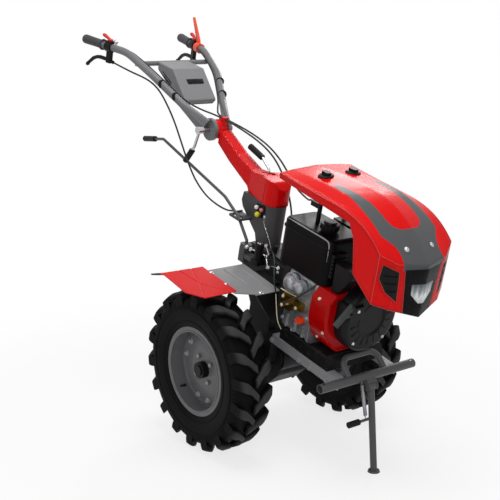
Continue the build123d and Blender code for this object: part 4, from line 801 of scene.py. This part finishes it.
# bolts and screws, gathered by body
wheels = ((-1, "right_wheel"), (1, "left_wheel"))
wheelBolts = {"rim": {"circle": 0.121, "angles": (150, 179, 261, 290), "shape": hexBolt, "size": 0.0075},
              "hub": {"circle": 0.052, "angles": (45, 135, 225, 315), "shape": domeScrew, "size": 0.00675}}
outside = 0.40  # m, beyond either wheel
for side, body in wheels:
    mesh = bmesh.new()
    for part, row in wheelBolts.items():
        for degrees in row["angles"]:
            a = math.radians(degrees) - pitch
            spot = axlePoint + Vector((math.cos(a) * row["circle"], side * outside, math.sin(a) * row["circle"]))
            point, normal = landOn(body.replace("wheel", part), spot, Vector((0, -side, 0)))
            row["shape"](mesh, point, normal, row["size"])
    # the rim bolts wear the pale grey, a painted highlight on their heads
    piece(body.replace("_wheel", "RimBolts"), mesh, "rib", body, 30)

fenderBolts = {"spots": [(-117, -274), (-18, -278), (84, -200)], "height": 325.2, "size": 0.0075}
mesh = bmesh.new()
for x, y in fenderBolts["spots"]:
    for side in (1, -1):
        domeScrew(mesh, at(x, side * y, fenderBolts["height"]), along(0, 0, 1), fenderBolts["size"])
piece("fenderScrews", mesh, "steel", "chassis", 40)

fenderRibs = {"rows": (-205, -145), "from": -118, "to": 34, "radius": 0.0042, "height": 324.4, "steps": 12,
              "tip": 0.35}


def ribRadius(u):
    return fenderRibs["radius"] * (fenderRibs["tip"] + (1 - fenderRibs["tip"]) * min(1, 6 * u, 6 * (1 - u)))


mesh = bmesh.new()
ribLength = fenderRibs["to"] - fenderRibs["from"]
for y in fenderRibs["rows"]:
    for side in (1, -1):
        stops = [fenderRibs["from"] + ribLength * k / fenderRibs["steps"] for k in range(fenderRibs["steps"] + 1)]
        tube(mesh, [at(x, side * y, fenderRibs["height"]) for x in stops], ribRadius)
# the fender ribs wear the pale grey, a painted highlight on their crowns
piece("fenderRibs", mesh, "rib", "chassis", 50)

hoodScrews = {"spots": [(575, -58), (575, 58)], "size": 0.0075}
overHood = 900  # mm, above the hood's roof
mesh = bmesh.new()
for x, y in hoodScrews["spots"]:
    point, normal = landOn("hood", at(x, y, overHood), along(0, 0, -1))
    domeScrew(mesh, point, normal, hoodScrews["size"])
piece("hoodScrews", mesh, "steel", "chassis", 40)
print("bolts done")

# rows of bolts that seat on a solid's side, looked up from outside
boltRows = {
    "engineBaseBolts": {"node": "engine_base", "finish": "black", "slot": "black_paint", "size": 0.0050,
                        "sides": (-1, 1), "spots": [(186, 192), (262, 192), (338, 192)]},
    "shroudBolts": {"node": "fan_shroud", "finish": "cream", "slot": "bright_steel", "size": 0.0040,
                    "sides": (-1, 1), "spots": [(336, 414), (330, 262), (372, 300)]},
    "pumpBolts": {"node": "injection_pump", "finish": "cream", "slot": "pump_plate", "size": 0.0042, "sides": (-1,),
                  "spots": [(166, 312), (166, 346), (192, 330), (238, 332), (156, 290), (212, 300)]},
    "gearboxBolts": {"node": "gearbox", "finish": "steel", "slot": "bright_steel", "size": 0.0045, "sides": (-1, 1),
                     "spots": [(-45, 345), (15, 352), (-95, 352), (-30, 210), (38, 150), (-42, 60), (34, -48),
                               (-30, -55)]},
    # the rail bolts take the rails' lighter grey, the same painted light
    "railBolts": {"node": "frame_rails", "finish": "rail", "slot": "black_paint", "size": 0.0075, "sides": (-1, 1),
                  "spots": [(120, 141), (271, 139), (330, 139), (420, 139)]},
    "towerBolts": {"node": "gear_tower", "finish": "steel", "slot": "bright_steel", "size": 0.0055, "sides": (-1,),
                   "spots": [(-144, 391), (-148, 338)]},
    "headBolts": {"node": "engine_block", "finish": "alloy", "slot": "alloy", "size": 0.0055, "sides": (-1, 1),
                  "spots": [(268, 300), (150, 250), (268, 232), (205, 226)]},
}
beside = 400  # mm, beyond either side
for name, row in boltRows.items():
    mesh = bmesh.new()
    for x, z in row["spots"]:
        for side in row["sides"]:
            point, normal = landOn(row["node"], at(x, side * beside, z), along(0, -side, 0))
            if point:
                hexBolt(mesh, point, normal, row["size"], True, x * 0.7)  # each head is turned its own way
    piece(name, mesh, row["finish"], "chassis", 30)

# recoil starter: two beads, raised bars between them, four screws in the rim
recoilTrim = {"centre": (446, 0, 355), "beads": [(0.1185, -0.0125, 0.0022), (0.062, -0.0002, 0.0016)], "bars": 18,
              "inner": 0.067, "outer": 0.096, "barWidth": 0.007, "barHeight": 0.0036, "barSink": 0.0010,
              "bevel": 0.0012, "screws": (32, 148, 228, 312), "screwCircle": 104, "screwSize": 0.0038, "ahead": 560}
mesh = bmesh.new()
face = flatPlace(at(*recoilTrim["centre"]), along(0, 1, 0), along(0, 0, 1))
for radius, depth, wire in recoilTrim["beads"]:
    hoop(mesh, face @ Matrix.Translation((0, 0, depth)), radius, wire, 64)
barMiddle = (recoilTrim["inner"] + recoilTrim["outer"]) / 2
barSize = (recoilTrim["outer"] - recoilTrim["inner"], recoilTrim["barWidth"], recoilTrim["barHeight"])
for i in range(recoilTrim["bars"]):
    spoke = face @ Matrix.Rotation(2 * math.pi * (i + 0.5) / recoilTrim["bars"], 4, "Z")
    block(mesh, spoke @ Matrix.Translation((barMiddle, 0, -recoilTrim["barSink"])), barSize, recoilTrim["bevel"])
piece("recoilRibs", mesh, "plastic", "chassis", 35)
mesh = bmesh.new()
for degrees in recoilTrim["screws"]:
    y = recoilTrim["screwCircle"] * math.cos(math.radians(degrees))
    z = recoilTrim["centre"][2] + recoilTrim["screwCircle"] * math.sin(math.radians(degrees))
    point, normal = landOn("recoil_starter", at(recoilTrim["ahead"], y, z), along(-1, 0, 0))
    hexBolt(mesh, point, normal, recoilTrim["screwSize"])
piece("recoilScrews", mesh, "steel", "chassis", 30)

# engine side: domed port covers with cooling rings, governor rod, stop rod and pipes
portCovers = {"spots": [((185, -168, 402), 1.0), ((235, -168, 405), 0.95)], "wire": 0.0014,
              "profile": [(26.5, -0.5), (26.5, 2.5), (24, 4.5), (21.5, 4.8), (21.5, 6.5), (17, 9.0), (10, 10.6),
                          (4, 11.2), (0.5, 11.3)],
              "rings": [((185, -149, 402), 36.4), ((185, -154, 402), 36.4), ((185, -162, 402), 27.4),
                        ((235, -150, 405), 27.4), ((235, -156, 405), 27.4), ((235, -162, 405), 27.4)]}
mesh = bmesh.new()
for spot, scale in portCovers["spots"]:
    profile = inMetres([(r * scale, h) for r, h in portCovers["profile"]])
    lathe(mesh, profile, frameAt(at(*spot), along(0, -1, 0)), 36)
for spot, radius in portCovers["rings"]:
    hoop(mesh, frameAt(at(*spot), along(0, -1, 0)), radius * millimetre, portCovers["wire"])
piece("portCovers", mesh, "alloy", "chassis", 40)

engineLines = {
    "governorRod": {"finish": "cream", "slot": "bright_steel", "radius": 0.0022,
                    "points": [(133, -150, 357), (160, -152, 359), (190, -152, 361), (214, -148, 363)]},
    "stopRod": {"finish": "cream", "slot": "bright_steel", "radius": 0.0020,
                "points": [(106, -146, 324), (114, -147, 301), (134, -150, 249), (150, -150, 222), (158, -140, 205)]},
    "stopCable": {"finish": "jacket", "slot": "cable_jacket", "radius": 0.0026,
                  "points": [(-62, -50, 410), (-30, -66, 408), (20, -98, 398), (62, -130, 382), (88, -146, 358),
                             (100, -146, 338), (107, -146, 322)]},
    "fuelPipe": {"finish": "jacket", "slot": "cable_jacket", "radius": 0.0032,
                 "points": [(192, -160, 330), (196, -178, 334), (214, -186, 352), (256, -182, 386), (284, -158, 424),
                            (290, -130, 444), (290, -118, 452)]},
    "columnWire": {"finish": "steel", "slot": "bright_steel", "radius": 0.0009,
                   "points": [(-141, -36, 500), (-138, -43, 492), (-124, -45, 474), (-104, -42, 450), (-86, -40, 424),
                              (-74, -40, 400)]},
}
for name, line in engineLines.items():
    mesh = bmesh.new()
    tube(mesh, routeLine(line["points"]), line["radius"], 10)
    piece(name, mesh, line["finish"], "chassis", 60)
print("engine details done")

# shift linkage over the gearbox: short rods between eyes, with a bolt in each eye
linkage = {"rods": [[(-128, -92, 388), (-96, -84, 392), (-62, -70, 384)],
                    [(-62, -70, 384), (-48, -72, 362), (-40, -72, 346)],
                    [(-104, -40, 404), (-80, -52, 398), (-56, -62, 388)],
                    [(-40, -66, 356), (-16, -68, 362), (14, -70, 370)]],
           "eyes": [(-128, -92, 388), (-62, -70, 384), (-104, -40, 404), (-40, -70, 348), (14, -70, 370)],
           "facing": (0, -1, 0.3), "rod": 0.0032, "eye": 0.005625, "wire": 0.00315, "bolt": 0.00465}
mesh = bmesh.new()
for points in linkage["rods"]:
    tube(mesh, routeLine(points), linkage["rod"], 10)
for spot in linkage["eyes"]:
    hoop(mesh, frameAt(at(*spot), along(*linkage["facing"])), linkage["eye"], linkage["wire"], 20)
    hexBolt(mesh, at(*spot), along(*linkage["facing"]), linkage["bolt"], False)
piece("shiftLinkage", mesh, "steel", "chassis", 40)

# column window: dark plate behind it as painted shade of the opening, three coloured cable nuts and a pale pin
windowTrim = {"plate": (-166, -32.5, 519), "size": (0.062, 0.060, 0.004), "bevel": 0.001, "face": -34.4,
              "nuts": {"white": ((-188, 528), 0.0085), "yellow": ((-175, 504), 0.0105), "pink": ((-159, 527), 0.0080)},
              "ball": (-1.1, -0.8, -0.5, -0.2, 0.1, 0.4, 0.7, 1.0, 1.3, 1.5), "lift": 1.15, "neck": 0.45,
              "pin": (-146, 503), "pinSize": 0.006}
mesh = bmesh.new()
plate = flatPlace(at(*windowTrim["plate"]), along(1, 0, 0), along(0, 0, 1))
block(mesh, plate, windowTrim["size"], windowTrim["bevel"])
piece("windowPlate", mesh, "plastic", "chassis", 35)
for name, ((x, z), radius) in windowTrim["nuts"].items():
    mesh = bmesh.new()
    ball = [(radius * math.cos(a), radius * (windowTrim["lift"] + math.sin(a))) for a in windowTrim["ball"]]
    place = frameAt(at(x, windowTrim["face"], z), along(0, -1, 0))
    lathe(mesh, [(radius * windowTrim["neck"], -0.001)] + ball, place, 20)
    piece(name + "CableNut", mesh, name, "chassis", 50)
mesh = bmesh.new()
x, z = windowTrim["pin"]
domeScrew(mesh, at(x, windowTrim["face"], z), along(0, -1, 0), windowTrim["pinSize"])
piece("windowPin", mesh, "steel", "chassis", 40)

# console: dark plate on the slope, slits in both flanks, both painted shade standing for the slots' openings
consoleSlotShade = {"plate": (-740, 8, 853), "slope": (-112, 0, 100), "plateSize": (0.080, 0.020, 0.0022),
               "plateBevel": 0.0010, "slits": [(-818, 850, 0.078), (-812, 838, 0.062)], "flank": 75.9,
               "slitWay": (0.92, 0, -0.39), "slitUp": (0.39, 0, 0.92), "slitSize": (0.0045, 0.0022),
               "slitBevel": 0.0008}
mesh = bmesh.new()
plate = flatPlace(at(*consoleSlotShade["plate"]), along(0, 1, 0), along(*consoleSlotShade["slope"]))
block(mesh, plate, consoleSlotShade["plateSize"], consoleSlotShade["plateBevel"])
for side in (-1, 1):
    way = along(*consoleSlotShade["slitWay"]) * -side
    for x, z, long in consoleSlotShade["slits"]:
        slit = flatPlace(at(x, side * consoleSlotShade["flank"], z), way, along(*consoleSlotShade["slitUp"]))
        block(mesh, slit, (long, *consoleSlotShade["slitSize"]), consoleSlotShade["slitBevel"])
piece("consoleSlotShade", mesh, "plastic", "handlebar", 35)

# clips that tie the cables to the bars, and the clamp knob on the right perch
barClips = {"spots": [((-753, 142.8, 842.6), (0.91, -0.36, 0.20)), ((-690, 115.4, 808), (0.85, -0.38, 0.36))],
            "profile": [(14.6, -5), (16.8, -5), (17.4, -3), (17.4, 3), (16.8, 5), (14.6, 5)]}
mesh = bmesh.new()
for (x, y, z), (dx, dy, dz) in barClips["spots"]:
    for side in (-1, 1):
        place = frameAt(at(x, side * y, z), along(dx, side * dy, dz))
        lathe(mesh, inMetres(barClips["profile"]), place, 28)
piece("barClips", mesh, "plastic", "handlebar", 40)
perchKnob = {"spot": (-1033, -203, 929), "facing": (0, 0.55, 0.83),
             "profile": [(4, -4), (4, 6), (8.5, 7.5), (9.8, 11), (9.5, 16), (7.5, 19.5), (4, 21.2), (0.5, 21.6)]}
mesh = bmesh.new()
lathe(mesh, inMetres(perchKnob["profile"]), frameAt(at(*perchKnob["spot"]), along(*perchKnob["facing"])), 24)
piece("perchKnob", mesh, "steel", "handlebar", 45)

# smooth grips, fuller hand levers with ball ends, and thumb pads on the throttle levers
gripTrim = {"end": (-1204, -240, 912), "start": (-950, -190, 918), "length": 0.118, "over": 0.003,
            "profile": [(15.2, 0), (22, 0.4), (22.8, 2), (22.8, 5), (21.6, 6.6), (18.4, 8.5), (17.8, 20), (18, 50),
                        (18.5, 85), (18.9, 104), (18.6, 110), (17.2, 114.5), (13.5, 117.2), (6, 117.9), (0.5, 118)],
            "lever": [(-1052, -210, 860), (-1108, -217, 862), (-1154, -223, 846), (-1188.6, -227.3, 811.4)],
            "leverRadius": 0.0076, "leverTaper": (1.1, 0.2), "ball": 0.0086, "perch": 0.104, "padHeight": 0.0275,
            "padReach": 0.034, "padSlope": math.radians(20), "padSize": (0.0150, 0.0105, 0.0065)}
sphere = [(max(math.cos(a), 0.03), math.sin(a)) for a in [math.pi * (k / 12 - 0.5) for k in range(13)]]


def leverRadius(u):
    return gripTrim["leverRadius"] * (gripTrim["leverTaper"][0] - gripTrim["leverTaper"][1] * u)


grips, levers, pads = bmesh.new(), bmesh.new(), bmesh.new()
for side in (-1, 1):
    start, end = [at(x, -side * y, z) for x, y, z in (gripTrim["start"], gripTrim["end"])]
    way = (end - start).normalized()
    inner = end + way * (gripTrim["over"] - gripTrim["length"])
    lathe(grips, inMetres(gripTrim["profile"]), frameAt(inner, way), 32)
    line = routeLine([(x, -side * y, z) for x, y, z in gripTrim["lever"]])
    tube(levers, line, leverRadius, 14)
    ball = [(gripTrim["ball"] * r, gripTrim["ball"] * h) for r, h in sphere]
    lathe(levers, ball, frameAt(line[-1], line[-1] - line[-2]), 20)
    across = along(0, 0, 1).cross(way).normalized()
    up = way.cross(across)
    lean = way * math.cos(gripTrim["padSlope"]) + up * math.sin(gripTrim["padSlope"])
    spot = start + way * gripTrim["perch"] + up * gripTrim["padHeight"] + lean * gripTrim["padReach"]
    lathe(pads, sphere, flatPlace(spot, lean, across) @ Matrix.Diagonal((*gripTrim["padSize"], 1)), 24)
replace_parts(piece("handGrips", grips, "grip", "handlebar", 40), "hand_grips")
piece("leverBlades", levers, "plastic", "handlebar", 50)
piece("thumbPads", pads, "lever", "handlebar", 50)
print("controls done")

# low skirts round the hood pads
padSkirts = {"spots": [(165, -63), (165, 63)], "size": (0.031, 0.024),
             "profile": [(1, -0.006), (1, 0.003), (0.93, 0.0055), (0.8, 0.007), (0.03, 0.0075)]}
mesh = bmesh.new()
for x, y in padSkirts["spots"]:
    point, normal = landOn("hood", at(x, y, overHood), along(0, 0, -1))
    across = along(0, 1, 0)
    across = (across - normal * across.dot(normal)).normalized()
    place = flatPlace(point, across, normal.cross(across)) @ Matrix.Diagonal((*padSkirts["size"], 1, 1))
    lathe(mesh, padSkirts["profile"], place, 32)
piece("padSkirts", mesh, "plastic", "chassis", 40)

# fuel tank: pale bead round the right face, a painted highlight along the rounded top edge
tankHighlightBead = {"points": [(92, -136.6, 609.4), (150, -137, 609.4), (230, -137, 609.4), (292, -137, 609.4),
                       (308, -136, 606), (312.5, -134.6, 594), (313, -134.2, 570), (313, -134.2, 535)],
            "radius": 0.0026}


def beadRadius(u):
    return tankHighlightBead["radius"] * min(1, 0.3 + 8 * u, 0.2 + 3 * (1 - u))


mesh = bmesh.new()
tube(mesh, routeLine(tankHighlightBead["points"]), beadRadius, 10)
piece("tankHighlightBead", mesh, "rib", "chassis", 60)

# wheels: rings in the rim's dish, and the tyre valves
rimRings = {"radii": (0.148, 0.139, 0.130), "wire": 0.0034, "outside": 0.45}
for side, body in wheels:
    mesh = bmesh.new()
    for radius in rimRings["radii"]:
        spot = axlePoint + Vector((0, side * rimRings["outside"], radius))
        point, normal = landOn(body.replace("wheel", "rim"), spot, Vector((0, -side, 0)))
        place = frameAt(Vector((axlePoint.x, point.y, axlePoint.z)), (0, side, 0))
        hoop(mesh, place, radius, rimRings["wire"], 72)
    piece(body.replace("_wheel", "RimRings"), mesh, "rim", body, 60)
tyreValves = {"spot": (-90, 341, -116), "lean": (0.10, 1, 0.12),
              "profile": [(6.0, 0), (5.6, 8), (4.0, 12), (4.0, 22), (4.0, 22.5), (3.4, 24)]}
for side, body in wheels:
    mesh = bmesh.new()
    (x, y, z), (dx, dy, dz) = tyreValves["spot"], tyreValves["lean"]
    lathe(mesh, inMetres(tyreValves["profile"]), frameAt(at(x, side * y, z), along(dx, side * dy, dz)), 14)
    piece(body.replace("_wheel", "TyreValve"), mesh, "jacket", body, 45)
print("trim done")

# camera, light and floor
def aimAt(holder, look):
    holder.location = look["spot"]
    holder.rotation_mode = "QUATERNION"
    holder.rotation_quaternion = (Vector(look["aim"]) - Vector(look["spot"])).to_track_quat("-Z", "Y")
    scene.collection.objects.link(holder)


cameraLook = {"spot": (3.010, -2.408, 1.536), "aim": (0.3237, -0.2968, 0.7769), "lens": 74.2, "sensor": 36, "far": 60}
eye = bpy.data.cameras.new("eye")
eye.lens = cameraLook["lens"]
eye.sensor_width = cameraLook["sensor"]
eye.clip_end = cameraLook["far"]
camera = bpy.data.objects.new("eye", eye)
aimAt(camera, cameraLook)
scene.camera = camera

lampLooks = {
    "overhead": {"spot": (0.5, -0.3, 3.6), "aim": (0.2, 0, 0.5), "size": 1.8, "power": 52},
    "frontRight": {"spot": (3.4, -2.9, 2.6), "aim": (0.2, 0, 0.6), "size": 1.2, "power": 42},
    "leftRear": {"spot": (-1.5, 2.5, 2.7), "aim": (0.4, 0, 0.9), "size": 1.1, "power": 30},
}
for name, look in lampLooks.items():
    lamp = bpy.data.lights.new(name, "AREA")
    lamp.shape = "DISK"
    lamp.size = look["size"]
    lamp.energy = look["power"]
    aimAt(bpy.data.objects.new(name, lamp), look)

stageLook = {"white": (1, 1, 1, 1), "skyLight": 0.48, "pale": "f2f2f2", "shade": "eeeeee", "grain": (3, 2),
             "rough": 0.9, "spec": 0.1, "nearGlow": 0.76, "farGlow": 0.24, "fade": (1.35, 0.75), "reach": 14}
world = bpy.data.worlds.new("studio")
world.use_nodes = True
scene.world = world
sky = Finish.__new__(Finish)
sky.tree = world.node_tree
sky.tree.nodes.clear()


def seenDirectly(finish):
    rays = ("Is Camera Ray", "Is Glossy Ray", "Is Transmission Ray")
    paths = [finish.add("ShaderNodeLightPath", out=name) for name in rays]
    return (paths[0] + paths[1] + paths[2]).held()


output = sky.tree.nodes.new("ShaderNodeOutputWorld")
mixed = sky.add("ShaderNodeMixShader", None, {
    0: seenDirectly(sky),
    1: sky.add("ShaderNodeBackground", None, {"Color": stageLook["white"], "Strength": stageLook["skyLight"]}),
    2: sky.add("ShaderNodeBackground", None, {"Color": stageLook["white"], "Strength": 1.0}),
})
sky.tree.links.new(mixed.socket, output.inputs["Surface"])

floorFinish = Finish("paleFloor")
grain = floorFinish.noise(*stageLook["grain"])
spread = floorFinish.add("ShaderNodeVectorMath", {"operation": "LENGTH"}, {0: floorFinish.place}, "Value")
away = floorFinish.step(spread, *stageLook["fade"])  # the shadow fades into plain white away from the tractor
floorFinish.put({"Base Color": floorFinish.mix(grain, tint(stageLook["pale"]), tint(stageLook["shade"])),
                 "Roughness": stageLook["rough"], "Specular IOR Level": stageLook["spec"]})
glow = floorFinish.add("ShaderNodeEmission", None, {"Color": stageLook["white"], "Strength": 1})
shaded = floorFinish.add("ShaderNodeMixShader", None, {
    0: seenDirectly(floorFinish) * (stageLook["nearGlow"] + stageLook["farGlow"] * away),
    1: Wire(floorFinish, floorFinish.shader.outputs[0]), 2: glow})
floorFinish.tree.links.new(shaded.socket, floorFinish.tree.nodes["Material Output"].inputs["Surface"])
mesh = bmesh.new()
bmesh.ops.create_grid(mesh, x_segments=8, y_segments=8, size=stageLook["reach"])
floorData = bpy.data.meshes.new("floor")
mesh.to_mesh(floorData)
mesh.free()
floorData.materials.append(floorFinish.material)
floor = bpy.data.objects.new("floor", floorData)
scene.collection.objects.link(floor)
print("stage set")
